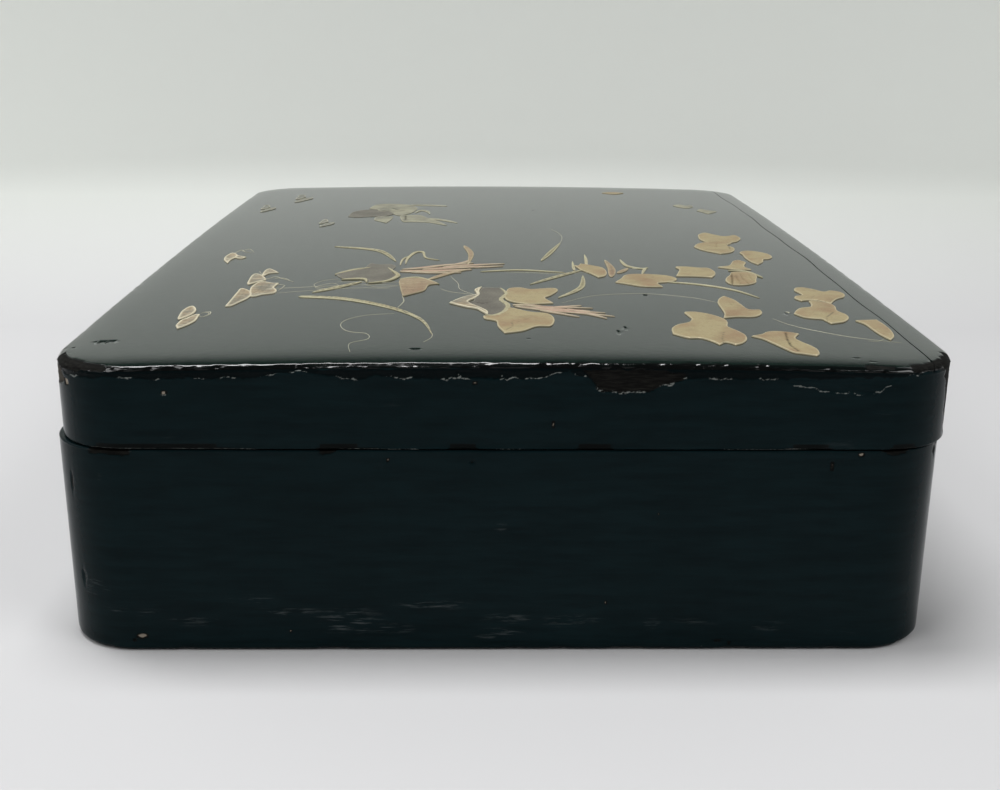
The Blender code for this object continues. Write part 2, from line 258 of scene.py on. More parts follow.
class Shell:
    """Vertices, faces and the values carried by them, gathered for one mesh."""

    def __init__(self):
        self.points = []
        self.faces = []
        self.kinds = []
        self.normals = []
        self.values = {}
        self.creases = set()

    def add_points(self, points, normals=None, **values):
        first = len(self.points)
        self.points += [tuple(p) for p in points]
        self.normals += [tuple(n) for n in normals] if normals is not None else [(0, 0, 0)] * len(points)
        for name, numbers in values.items():
            kept = self.values.setdefault(name, [])
            kept += [0.0] * (first - len(kept)) + [float(n) for n in numbers]
        return first

    def add_faces(self, faces, kind=0):
        self.faces += faces
        self.kinds += [kind] * len(faces)

    def fill(self, ring_numbers, ring, free, height, kind, upward, lines=(), normal=None, crease=None):
        """Closes a ring of vertices with triangles whose other corners stand at the given height."""
        places, numbers, triangles = triangulate(ring, free, lines)
        new = [k for k, n in enumerate(numbers) if n < 0]
        x, y = np.array([places[k] for k in new]).T
        first = self.add_points(np.stack([x, y, height(x, y)], -1), normal(x, y) if normal else None)
        lookup = {k: first + i for i, k in enumerate(new)}
        lookup.update({k: ring_numbers[n] for k, n in enumerate(numbers) if n >= 0})
        corners = [[lookup[k] for k in t] for t in triangles]
        if crease:
            middles = np.array([np.mean([places[k] for k in t], axis=0) for t in triangles])
            self.creases |= {len(self.faces) + int(k) for k in np.flatnonzero(crease(*middles.T))}
        self.add_faces([c if upward else c[::-1] for c in corners], kind)

    def make(self, name, materials, place, sharp):
        """Makes the mesh and its object, in metres, moved to its place on the box."""
        mesh = bpy.data.meshes.new(name)
        coordinates = (np.array(self.points) + np.array(place)) * MM
        mesh.from_pydata(coordinates.tolist(), [], self.faces)
        for finish in materials:
            mesh.materials.append(finish)
        mesh.polygons.foreach_set("material_index", self.kinds)
        for label, numbers in self.values.items():
            layer = mesh.attributes.new(label, "FLOAT", "POINT")
            layer.data.foreach_set("value", numbers + [0.0] * (len(self.points) - len(numbers)))
        mesh.shade_smooth()
        mesh.set_sharp_from_angle(angle=math.radians(sharp))
        if any(n != (0, 0, 0) for n in self.normals):
            mesh.normals_split_custom_set(self.corner_normals(mesh))
        piece = bpy.data.objects.new(name, mesh)
        bpy.context.scene.collection.objects.link(piece)
        return piece

    def corner_normals(self, mesh):
        """A normal for each corner: the face's own in a crease, else the vertex's, or none."""
        chosen = []
        for polygon in mesh.polygons:
            if polygon.index in self.creases:
                chosen += [tuple(polygon.normal)] * len(polygon.vertices)
            else:
                chosen += [self.normals[k] for k in polygon.vertices]
        return chosen


# The kinds of finish on a shell, in the order of its materials, and the values that its wear and its
# painted glints leave.
# A face takes the finish of bare ground where the bareness of its four corners adds up to more.
TOP, SIDES, INSIDE, SHADED_RIM, GROUND_FACE = 0, 1, 2, 3, 4
# The edge mark is a painted glint along broken edges of the lacquer.
MARKS = ("bare", "worn", "edge", "scuff")
GROUND_SHOWS = 0.7


# Profile rows of a shell: an inset from the outline, a height, the way the surface faces outward and
# upward, how much of the dome's lift it takes, and its kind of finish.
def quarter(inset, height, radius, start, end, steps, lift, kind):
    """Rows round an arc from one way of facing to another, in degrees up. A cove's radius is negative."""
    rows = []
    for angle in np.linspace(math.radians(start), math.radians(end), steps + 1):
        out, up = math.cos(angle), math.sin(angle)
        rows.append((inset - radius * out, height + radius * up, out, up, lift, kind))
    return rows


def flat_rows(insets, heights, out, up, lift, kind):
    return [(i, h, out, up, lift, kind) for i, h in zip(insets, heights)]


def lay_rows(shell, rows, along, lift, removal):
    """Carries a profile round the outline. Gives each ring's vertex numbers and its places in plan."""
    centres, ways = outline_at(along)
    rings = []
    for inset, height, out, up, share, kind in rows:
        flat = centres + ways * (CORNER_RADIUS - inset)
        level = height + share * lift(*flat.T)
        taken, *marks = removal(along, inset, height, kind)
        points = np.concatenate([flat - ways * (taken * out)[:, None], (level - taken * up)[:, None]], 1)
        first = shell.add_points(points, **dict(zip(MARKS, marks)))
        rings.append((list(range(first, first + len(along))), pairs(*points[:, :2].T)))
    bareness = shell.values["bare"]
    for (lower, _), (upper, _), row in zip(rings[:-1], rings[1:], rows[1:]):
        for quad in zip(lower, turned(lower), turned(upper), upper):
            lost = sum(bareness[k] for k in quad) > GROUND_SHOWS
            shell.add_faces([list(quad)], GROUND_FACE if lost else row[-1])
    return rings


def square_grid(step, inset):
    """The x and y of places on a square grid that lie deeper than the inset inside the outline."""
    across = np.arange(-BOX_WIDTH / 2, BOX_WIDTH / 2, step) + step / 2
    back = np.arange(-BOX_DEPTH / 2, BOX_DEPTH / 2, step) + step / 2
    x, y = [a.ravel() for a in np.meshgrid(across, back)]
    kept = edge_distance(x, y) > inset + GRID_GAP * step
    return x[kept], y[kept]


# Wear of the lid's front edge. Places run along the outline from the front's middle, and the drop is how
# far below the lid's top edge a place lies, in millimetres. A negative drop lies on the top.
FLAKE_FOOT = [
    (-150, 1.0), (-141, 2.2), (-127, 3.4), (-113, 2.6), (-104, 3.6), (-96, 2.9), (-88, 3.7), (-76, 3.3),
    (-66, 2.2), (-58.5, 1.6), (-52.8, 3.1), (-45, 4.1), (-41.4, 4.4), (-37.9, 2.7), (-34.2, 3.3),
    (-30, 3.8), (-17.1, 3.9), (-8, 4.0), (3, 3.9), (10.5, 3.8), (13.1, 2.5), (17.9, 2.1), (20.3, 3.1),
    (24, 3.5), (38, 3.6), (50.5, 3.9), (62, 3.3), (72, 3.6), (80.9, 3.4), (92, 2.9), (103, 2.6),
    (112, 2.0), (124, 1.3), (136, 2.2), (150, 0.8),
]
FLAKE_HEAD = [
    (-150, 0.2), (-128, -0.7), (-113, 0.1), (-109, 0.5), (-99, 0.7), (-96, 0.3), (-92, 0.6), (-87, 0.8),
    (-81, 0.5), (-62, 0.6), (-58, 0.4), (-56, 1.1), (-40, 1.3), (-15, 1.1), (4, 0.8), (9, 0.1), (21, 0.2),
    (28, 0.6), (36, 0.5), (40, -0.3), (58, 0.1), (72, 0.3), (84, 0.4), (98, 0.9), (112, 1.0), (150, 0.8),
]
FLAKE_DEPTH = 0.22
# Deeper losses: an outline in the same places, a depth, how bare the ground is, how ragged the edge is.
LOSSES = [
    ([(22, 1.6), (24, 3.4), (25.5, 5.8), (27, 7.0), (33, 7.6), (42, 7.2), (44.8, 6.0), (50.5, 3.9),
      (52, 2.4), (40, 1.2)], 0.55, 0.75, 0.5),
    ([(80, 2.8), (81.5, 4.9), (88, 5.6), (95, 7.2), (106, 7.3), (111, 4.5), (115, 1.4), (98, 1.6)],
     0.20, 0.0, 0.5),
    ([(-15, 1.6), (-13, 3.9), (-2, 4.0), (-1, 1.7)], 0.45, 0.0, 0.3),
    ([(-141, -0.6), (-141, 1.6), (-133, 2.0), (-124, 1.2), (-116, 0.9), (-114, 0.1), (-122, -0.9)],
     0.30, 0.9, 0.5),
    ([(131.5, -0.8), (132.6, 5), (134.6, 11), (135.2, 17), (136.2, 22), (143, 23), (143, -0.8)],
     0.26, 0.9, 0.9),
    ([(-151, 1.6), (-151, 9), (-142, 8.5), (-136, 6.5), (-131.5, 5.0), (-134, 1.9)], 0.16, 1.22, 0.8),
    ([(118, -0.9), (118, 0.8), (126, 1.1), (134, 0.4), (134, -1.0)], 0.10, 0.8, 0.4),
    ([(-131.6, 4.6), (-131.0, 6.6), (-129.4, 6.4), (-129.6, 4.8)], 0.25, 2.0, 0.1),
    ([(-99.2, 6.8), (-99.2, 7.8), (-98.0, 7.8), (-98.0, 6.8)], 0.20, 2.0, 0.1),
    ([(-9.9, 4.8), (-9.9, 5.5), (-8.8, 5.5), (-8.8, 4.8)], 0.15, 1.6, 0.1),
    ([(104, -0.6), (104, 0.4), (112, 0.5), (113, -0.5)], 0.08, 0.7, 0.3),
]
FLAKE_REACH = 150


def front_edge_wear(along, drop):
    """How much lacquer is gone, in millimetres, how bare and how worn it is, and the painted glint on its
    broken edges.
    """
    drop = np.broadcast_to(drop, along.shape)
    ragged = 0.45 * noise(along, drop, 2.6, 1) + 0.30 * noise(along, drop, 0.9, 2)
    foot = np.interp(along, *zip(*FLAKE_FOOT)) + ragged
    head = np.interp(along, *zip(*FLAKE_HEAD)) + 0.45 * noise(along, 0, 3.1, 3) + 0.35 * ragged
    near = smooth((FLAKE_REACH - np.abs(along)) / 4)
    inside = smooth((foot - drop) / 0.35 + 0.5) * smooth((drop - head) / 0.5 + 0.5)
    rough = 0.75 + 0.35 * noise(along, drop, 1.3, 4) + 0.25 * noise(along, drop, 4.5, 5)
    taken = FLAKE_DEPTH * near * inside * rough
    bare = np.zeros_like(taken)
    # A painted glint runs along the flake's foot, broken into pieces.
    broken = smooth((noise(along, drop, 4.2, 9) + 0.30) / 0.5)
    edge = near * broken * np.exp(-(((drop - foot) / 0.20) ** 2))
    for shape, depth, bareness, raggedness in LOSSES:
        signed = depth_inside(along, drop, shape)
        signed += raggedness * (0.8 * noise(along, drop, 1.9, 6) + 0.5 * noise(along, drop, 0.8, 7))
        within = smooth(signed / 0.4 + 0.5)
        grain = 0.06 * noise(along * 0.16, drop, 0.5, 8)
        taken = np.maximum(taken, within * (depth + grain))
        bare = np.maximum(bare, within * bareness)
        # A painted glint along the lower border of each loss.
        low = smooth(drop - np.mean([place[1] for place in shape]) + 0.5) * smooth(drop - 1.4)
        edge = np.maximum(edge * (1 - within), broken * low * np.exp(-(((signed + 0.1) / 0.22) ** 2)))
    worn = near * smooth((foot - drop) / 0.3 + 0.8) * smooth((drop - head) / 0.3 + 0.8)
    return taken, bare, worn, edge


# The narrow face worn along the rim: its width along the outline, and the way it faces in degrees up.
# It is most even between the middle two places of its calm run.
FACET_WIDTH = [
    (-152, 0.0), (-140, 0.3), (-113, 0.6), (-98, 0.9), (-88, 0.6), (-80, 1.0), (-64, 1.1), (-57, 1.4),
    (-15, 1.3), (-6, 0.9), (10, 0.7), (24, 0.5), (38, 0.3), (42, 0.0), (56, 0.0), (59, 0.7), (73, 0.6),
    (76, 0.0), (152, 0.0),
]
FACET_FACING = 56.8
CALM_RUN = (-64, -57, -15, -6)


def facet_width(along):
    broken = np.interp(along, CALM_RUN, (0.9, 0.25, 0.25, 0.8))
    uneven = noise(along, 0, 4.0, 14) + 0.8 * noise(along, 0, 1.7, 18)
    return np.interp(along, *zip(*FACET_WIDTH)) * (1 + broken * uneven)


def facet_cut(along, facing):
    """Depth of the worn face of the rim at the height whose sound surface faces this far up."""
    width = np.maximum(facet_width(along), 0)
    sway = np.interp(along, CALM_RUN, (1.0, 0.45, 0.45, 1.0))
    towards = FACET_FACING + sway * (3.4 * noise(along, 0, 3.0, 15) + 2.4 * noise(along, 0, 1.2, 16))
    half = np.cos(width / (2 * RIM_ROUND))
    off = np.radians(np.clip(facing - towards, -60, 60))
    lumps = 0.025 * (1 + noise(along, facing * 0.04, 0.7, 17))
    return RIM_ROUND * np.maximum(1 - half / np.cos(off), 0) + lumps * (width > 0.3)


def edge_wear_all_round(along, drop):
    """Light rubbing and small bites along the lid's whole top edge."""
    on_edge = smooth(1 - np.abs(drop - 0.6) / 1.8)
    bites = smooth((noise(along, drop, 5.0, 11) - 0.35) / 0.35) * 0.10
    rub = 0.03 * (noise(along, 0, 9.0, 12) + noise(along, 0, 2.7, 13))
    spared = np.interp(along, (50, 72, 150, 168), (1.0, 0.25, 0.25, 1.0))
    return spared * on_edge * np.maximum(bites + rub + 0.03, 0)


def waviness(along, height):
    """The slow unevenness of hand-laid lacquer on wood."""
    return 0.05 * (1 + noise(along, height, 31, 21)) + 0.02 * (1 + noise(along, height, 9, 22))


# Nicks: a place along the outline, a height on the piece, half sizes along and up, a depth, and bareness,
# which is 2 where the pale wood shows.
LID_NICKS = [
    (139.2, 20.0, 0.9, 1.2, 0.5, 0.5), (-126.5, 12.5, 0.4, 0.4, 0.25, 0.0),
    (-119, 8.5, 0.3, 0.5, 0.2, 0.0), (16.0, 8.6, 2.2, 0.3, 0.12, 0.0), (-105, 5.2, 0.4, 0.3, 0.2, 0.5),
    (96, 3.0, 0.5, 0.3, 0.2, 0.0), (101.1, 8.9, 0.45, 0.45, 0.15, 2.0),
    (13.6, 7.1, 0.35, 0.35, 0.15, 2.0),
]
BASE_NICKS = [
    (-35.7, 60.3, 0.9, 0.5, 0.45, 0.1), (-33.3, 62.1, 0.5, 0.4, 0.35, 1.6),
    (-8.5, 61.5, 0.9, 0.6, 0.45, 0.2), (105.8, 63.9, 0.9, 0.6, 0.4, 2.0),
    (-130.0, 53.0, 0.8, 3.5, 0.25, 0.3), (-128.3, 22.5, 1.1, 2.0, 0.35, 0.0),
    (134.0, 62.0, 1.2, 1.4, 0.4, 0.6), (-109.2, 4.9, 1.7, 0.7, 0.35, 2.0),
    (66.9, 3.0, 1.6, 0.6, 0.35, 0.3), (-111.5, 3.6, 0.6, 0.5, 0.3, 0.9), (70.5, 2.6, 0.6, 0.4, 0.3, 0.7),
    (-22.0, 15.6, 2.4, 0.3, 0.14, 0.0), (97.5, 61.3, 0.8, 0.6, 0.45, 0.3),
    (97.5, 60.5, 0.7, 0.35, 0.20, 1.7), (-73.6, 42, 0.45, 0.3, 0.1, 1.8), (-85, 34, 0.35, 0.35, 0.1, 1.9),
    (-78, 32, 0.4, 0.3, 0.1, 1.8), (47, 45, 0.3, 0.3, 0.1, 1.7), (27, 34, 0.35, 0.35, 0.1, 1.9),
    (32, 16, 0.35, 0.35, 0.1, 1.8), (-64, 6.5, 0.35, 0.35, 0.1, 1.9),
]
# Scuffed patches of the base: a place along the outline, a height, half sizes and a strength.
SCUFFS = [
    (-75.5, 17.2, 5.5, 1.1, 0.8), (-64, 13.0, 8.0, 1.0, 1.0), (-92, 10.0, 7.0, 1.4, 0.55),
    (-46, 9.8, 8.0, 3.6, 0.9), (-21.5, 15.4, 9.0, 1.2, 1.0), (-32.5, 7.4, 6.0, 1.2, 0.75),
    (-1, 5.4, 6.0, 1.6, 0.85), (2.5, 10.8, 6.0, 1.3, 0.75), (21.8, 10.0, 7.5, 1.5, 0.75),
    (46, 8.8, 2.4, 1.4, 0.6), (83, 8.0, 4.5, 1.2, 0.6), (-124, 20.0, 4.5, 2.4, 0.7),
    (-117, 13.0, 4.0, 1.0, 0.5), (60, 10.0, 6.0, 1.0, 0.4), (0, 41, 1.2, 1.2, 0.6),
    (-106, 13.0, 4.0, 0.9, 0.5), (-118, 56, 0.8, 0.8, 0.8), (104, 6.0, 5.0, 1.0, 0.4),
]
# Where the base's mouth is worn to the ground: start and end along the outline.
MOUTH_WEAR = [(-122, -108), (-54, -48), (112, 120), (133, 142)]


def from_spot(x, y, middle_x, middle_y, half_x, half_y):
    """Distance from a spot's middle, which is 1 at its half sizes."""
    return np.hypot((x - middle_x) / half_x, (y - middle_y) / half_y)


def nicks(along, height, table):
    """Depth and bareness of small nicks."""
    ragged = 0.25 * noise(along, height, 0.7, 31)
    found = []
    for *spot, depth, bareness in table:
        within = smooth(1.35 - from_spot(along, height, *spot) - ragged)
        found.append((depth * within, bareness * within))
    return np.max(found, axis=0)


def scuffed(along, height):
    """How scuffed the base is there."""
    found = [strength * smooth(1.6 - from_spot(along, height, *spot)) for *spot, strength in SCUFFS]
    return np.max(found, axis=0)


# Small dents in the lid's top: a place, half sizes and a depth.
DENTS = [
    (38, -153, 0.50, 2.1, 0.30), (35.3, -158, 0.55, 2.3, 0.30), (50, -107, 0.8, 0.9, 0.25),
    (-27, -177, 1.5, 0.7, 0.30), (103, -182, 1.2, 0.6, 0.10), (107, -185, 1.2, 0.5, 0.06),
    (-122, -165, 3.4, 0.35, 0.16), (-130, -170, 0.6, 0.8, 0.12),
    (7, -166, 0.7, 0.7, 0.06), (94, -131, 0.4, 2.0, 0.12), (18, 84, 0.5, 1.0, 0.12),
]
# Rings of places laid in and round a dent: how far out as a share of its half sizes, and how many.
DENT_RINGS = [(0.0, 1), (0.4, 6), (0.8, 9), (1.2, 12), (1.7, 12)]


def dent_depth(x, y):
    """Depth of the dents in the lid's top."""
    return np.max([depth * smooth(1.4 - from_spot(x, y, *spot)) for *spot, depth in DENTS], axis=0)


def dent_places():
    places = []
    for x, y, half_x, half_y, _ in DENTS:
        for share, count in DENT_RINGS:
            for angle in 2 * math.pi * (np.arange(count) + 0.5 * share) / count:
                away_x, away_y = share * half_x * math.cos(angle), share * half_y * math.sin(angle)
                places.append((x + away_x, y + away_y))
    return places


def joint_depth(x, y):
    return JOINT_DEPTH * np.clip(1 - np.abs(x - joint_line(y)) / joint_half_width(y), 0, 1)


def in_joint(x, y):
    return joint_depth(x, y) > 0.05


def sound_height(x, y):
    """Height of the lid's top without the open joint."""
    return LID_HEIGHT + lid_surface(x, y) - dent_depth(x, y)


def top_height(x, y):
    return LID_HEIGHT + lid_surface(x, y) - np.maximum(dent_depth(x, y), joint_depth(x, y))


def top_normal(x, y):
    """Normals of the lid's top as it is beside the open joint."""
    step = 0.15
    along_x = (sound_height(x + step, y) - sound_height(x - step, y)) / (2 * step)
    along_y = (sound_height(x, y + step) - sound_height(x, y - step)) / (2 * step)
    normals = np.stack([-along_x, -along_y, np.ones_like(x)], -1)
    return normals / np.linalg.norm(normals, axis=1)[:, None]


def lid_removal(along, inset, height, kind):
    """Wear of the lid's outer faces: what is taken off, and the values of the marks."""
    if kind == INSIDE:
        return np.zeros((1 + len(MARKS), len(along)))
    drop = LID_HEIGHT - height if inset < RIM_ROUND else RIM_ROUND - inset
    taken, bare, worn, edge = front_edge_wear(along, drop)
    fade = smooth(TOP_RING - inset) if inset > RIM_ROUND else 1.0
    sound = 1 - 0.9 * np.clip(facet_width(along), 0, 1)
    taken = (taken + edge_wear_all_round(along, drop) * sound) * fade
    above = height - (LID_HEIGHT - RIM_ROUND)
    if above > 0 and inset < RIM_ROUND:
        taken = taken + facet_cut(along, math.degrees(math.atan2(above, RIM_ROUND - inset)))
    on_wall = inset < 0.01
    nicked, nick_bare = nicks(along, height if on_wall else -99, LID_NICKS)
    taken = np.maximum(taken + waviness(along, height) * on_wall, nicked)
    if kind in (TOP, SHADED_RIM):
        taken = np.maximum(taken, joint_depth(*inset_places(along, inset)))
    mouth = smooth(1 - (height - 0.5) / 1.5) * smooth((noise(along, 0, 13, 51) - 0.3) / 0.3)
    # A painted glint along the lid's lower edge.
    mouth_glint = 0.8 * smooth(1 - height / 0.7) * smooth((noise(along, 0, 17, 52) + 0.2) / 0.4)
    edge = np.maximum(edge * fade, mouth_glint)
    scuff = smooth(1 - abs(height - 7) / 9) * smooth((noise(along, height, 11, 53) - 0.45) / 0.3) * 0.5
    bare = np.maximum(np.maximum(bare, nick_bare), 0.35 * mouth)
    return taken + 0.15 * mouth, bare, worn * fade, edge, scuff


def lid_rows():
    """The lid's profile, from its ceiling down inside, round its mouth and up to its top."""
    wall = BASE_WALL - LIP_CLEARANCE
    wall_top = LID_HEIGHT - RIM_ROUND
    rows = quarter(wall + COVE, LID_HEIGHT - TOP_THICKNESS - COVE, -COVE, -90, -180, 4, 1, INSIDE)
    rows += flat_rows([wall] * 3, (11, 5, 0.5), -1, 0, 0, INSIDE)
    rows += flat_rows((wall - 0.5, wall - 2.5, MOUTH_ROUND), (0, 0, 0), 0, -1, 0, SIDES)
    rows += quarter(MOUTH_ROUND, MOUTH_ROUND, MOUTH_ROUND, -68, 0, 3, 0, SIDES)
    heights = graded(MOUTH_ROUND, wall_top, 1.1, [(wall_top, 4.6, 0.26), (wall_top, 9, 0.42)])[1:]
    rows += [(0, h, 1, 0, h / wall_top, SIDES) for h in heights]
    # The middle rows of the rounded top edge take the darker rim lacquer, a painted shade.
    for start, end, steps, kind in ((6, 30, 4, SIDES), (34, 78, 12, SHADED_RIM), (84, 90, 1, TOP)):
        rows += quarter(RIM_ROUND, wall_top, RIM_ROUND, start, end, steps, 1, kind)
    return rows + flat_rows((2.6, 3.0, TOP_RING), [LID_HEIGHT] * 3, 0, 1, 1, TOP)


def ceiling_height(x, y):
    return LID_HEIGHT - TOP_THICKNESS + lid_surface(x, y)


def make_lid(finishes):
    shell = Shell()
    spots = [LID_FRONT, (JOINT_FRONT, 2.6, 0.13), (JOINT_BACK, 2.8, 0.2), (JOINT_BACK - AROUND, 2.8, 0.2)]
    along = graded(-AROUND / 2, AROUND / 2, LID_STEP, spots)[:-1]
    rings = lay_rows(shell, lid_rows(), along, lid_surface, lid_removal)
    shell.fill(*rings[0], pairs(*square_grid(INSIDE_STEP, BASE_WALL)), ceiling_height, INSIDE, False)
    x, y = square_grid(TOP_STEP, TOP_RING)
    kept = np.abs(x - joint_line(y)) > 1.2
    free = pairs(x[kept], y[kept])
    for inset, thin in TOP_RINGS:
        x, y = inset_places(along[::thin], inset)
        clear = np.abs(x - joint_line(y)) > 0.8
        free += pairs(x[clear], y[clear])
    y = np.linspace(-1, 1, JOINT_STEPS) * (BOX_DEPTH / 2 - JOINT_ENDS)
    lines = [pairs(joint_line(y) + side * joint_half_width(y), y) for side in (-1, 0, 1)]
    free += dent_places()
    shell.fill(*rings[-1], free, top_height, TOP, True, lines, top_normal, in_joint)
    return shell.make("lid_lacquer", finishes, LID_PLACE, SHELL_SHARP)


# How far in from the outline the wear of the base goes
MOUTH_REACH = BASE_WALL - 1.5


def base_removal(along, inset, height, kind):
    """Wear of the base's outer faces: what is taken off, and the values of the marks."""
    if kind == INSIDE or inset > MOUTH_REACH:
        return np.zeros((1 + len(MARKS), len(along)))
    taken, bare = nicks(along, height, BASE_NICKS)
    worn = np.zeros_like(along)
    for start, end in MOUTH_WEAR:
        within = (end - start) / 2 - np.abs(along - (start + end) / 2)
        worn = np.maximum(worn, smooth(within / 2.0 + 0.3 * noise(along, 0, 1.7, 61)))
    ragged = 0.7 + 0.6 * noise(along, height, 2.3, 62)
    worn = worn * smooth((height - (BASE_HEIGHT - 1.5 * ragged)) / 0.5)
    foot = smooth(1 - height / 2.2) * smooth((noise(along, 0, 6, 63) - 0.2) / 0.4)
    on_wall = inset < 0.01
    taken = np.maximum(taken, 0.35 * worn) + 0.22 * foot + on_wall * waviness(along, height)
    bare = np.maximum(np.maximum(bare, worn), 0.25 * foot)
    # A faint painted highlight along the base's foot.
    low = smooth(1 - abs(height - 1.2) / 1.2) * smooth((noise(along, 0, 9, 64) + 0.1) / 0.4)
    return taken, bare, np.maximum(worn, 0.6 * foot), 0.2 * low, scuffed(along, height) * on_wall


def base_rows():
    """The base's profile, from its underside up, over the mouth and the lip, and down to its floor."""
    lip_top = BASE_HEIGHT + LIP_RISE
    lip_in = BASE_WALL + LIP_THICKNESS
    lip_bottom = BASE_HEIGHT - LIP_DROP
    mouth = BASE_HEIGHT - MOUTH_ROUND
    rows = quarter(FOOT_ROUND, FOOT_ROUND, FOOT_ROUND, -90, 0, 5, 0, SIDES)
    spots = [(n[1], n[3] + 0.3, 0.4) for n in BASE_NICKS] + [(10, 8.5, 1.0)]
    rows += [(0, h, 1, 0, 0, SIDES) for h in graded(FOOT_ROUND, mouth, 1.9, spots)[1:]]
    rows += quarter(MOUTH_ROUND, mouth, MOUTH_ROUND, 22, 90, 3, 0, SIDES)
    rows += flat_rows((2, 5, BASE_WALL - 0.01), [BASE_HEIGHT] * 3, 0, 1, 0, SIDES)
    lip_heights = (BASE_HEIGHT + 0.01, BASE_HEIGHT + 3, lip_top - LIP_ROUND)
    rows += flat_rows([BASE_WALL] * 3, lip_heights, 1, 0, 0, INSIDE)
    rows += quarter(BASE_WALL + LIP_ROUND, lip_top - LIP_ROUND, LIP_ROUND, 30, 90, 2, 0, INSIDE)
    rows += quarter(lip_in - LIP_ROUND, lip_top - LIP_ROUND, LIP_ROUND, 90, 180, 3, 0, INSIDE)
    rows += flat_rows((lip_in, lip_in), (lip_bottom + 6, lip_bottom), -1, 0, 0, INSIDE)
    rows += flat_rows((BASE_WALL, BASE_WALL), (lip_bottom, 30), -1, 0, 0, INSIDE)
    return rows + quarter(BASE_WALL + COVE, FLOOR_THICKNESS + COVE, -COVE, 180, 90, 4, 0, INSIDE)


def floor_height(x, y):
    return level_surface(x, y) + FLOOR_THICKNESS


def make_base(finishes):
    shell = Shell()
    spots = [(n[0], n[2] + 0.8, 0.3) for n in BASE_NICKS]
    spots += [(end, 3, 0.7) for ends in MOUTH_WEAR for end in ends]
    along = graded(-AROUND / 2, AROUND / 2, BASE_STEP, spots + [BASE_FRONT])[:-1]
    rings = lay_rows(shell, base_rows(), along, level_surface, base_removal)
    free = pairs(*square_grid(INSIDE_STEP, BASE_WALL))
    shell.fill(*rings[0], free, level_surface, SIDES, False)
    shell.fill(*rings[-1], free, floor_height, INSIDE, True)
    return shell.make("base_lacquer", finishes, BASE_PLACE, SHELL_SHARP)


# Ornament, where the solids have it: places are millimetres from the middle of the lid.
LEAF_RELIEF = 0.45
GREY_RELIEF = 0.32
GRASS_RELIEF = 0.38
RIM_RELIEF = 0.55
TUBE_RELIEF = 0.42
WING_RELIEF = 0.45
WING_HOLLOW = 0.45
PLATE_ROLL = 0.3
PLATE_SWAY = 0.05
PLATE_ROOT = 0.6
# How pink a plate is: from this place rightwards on the right half, and evenly on the left one
BLUSH_START, BLUSH_RUN, BLUSH_EVEN = 8, 9, 0.55
DOUBLE_BLADES = 6
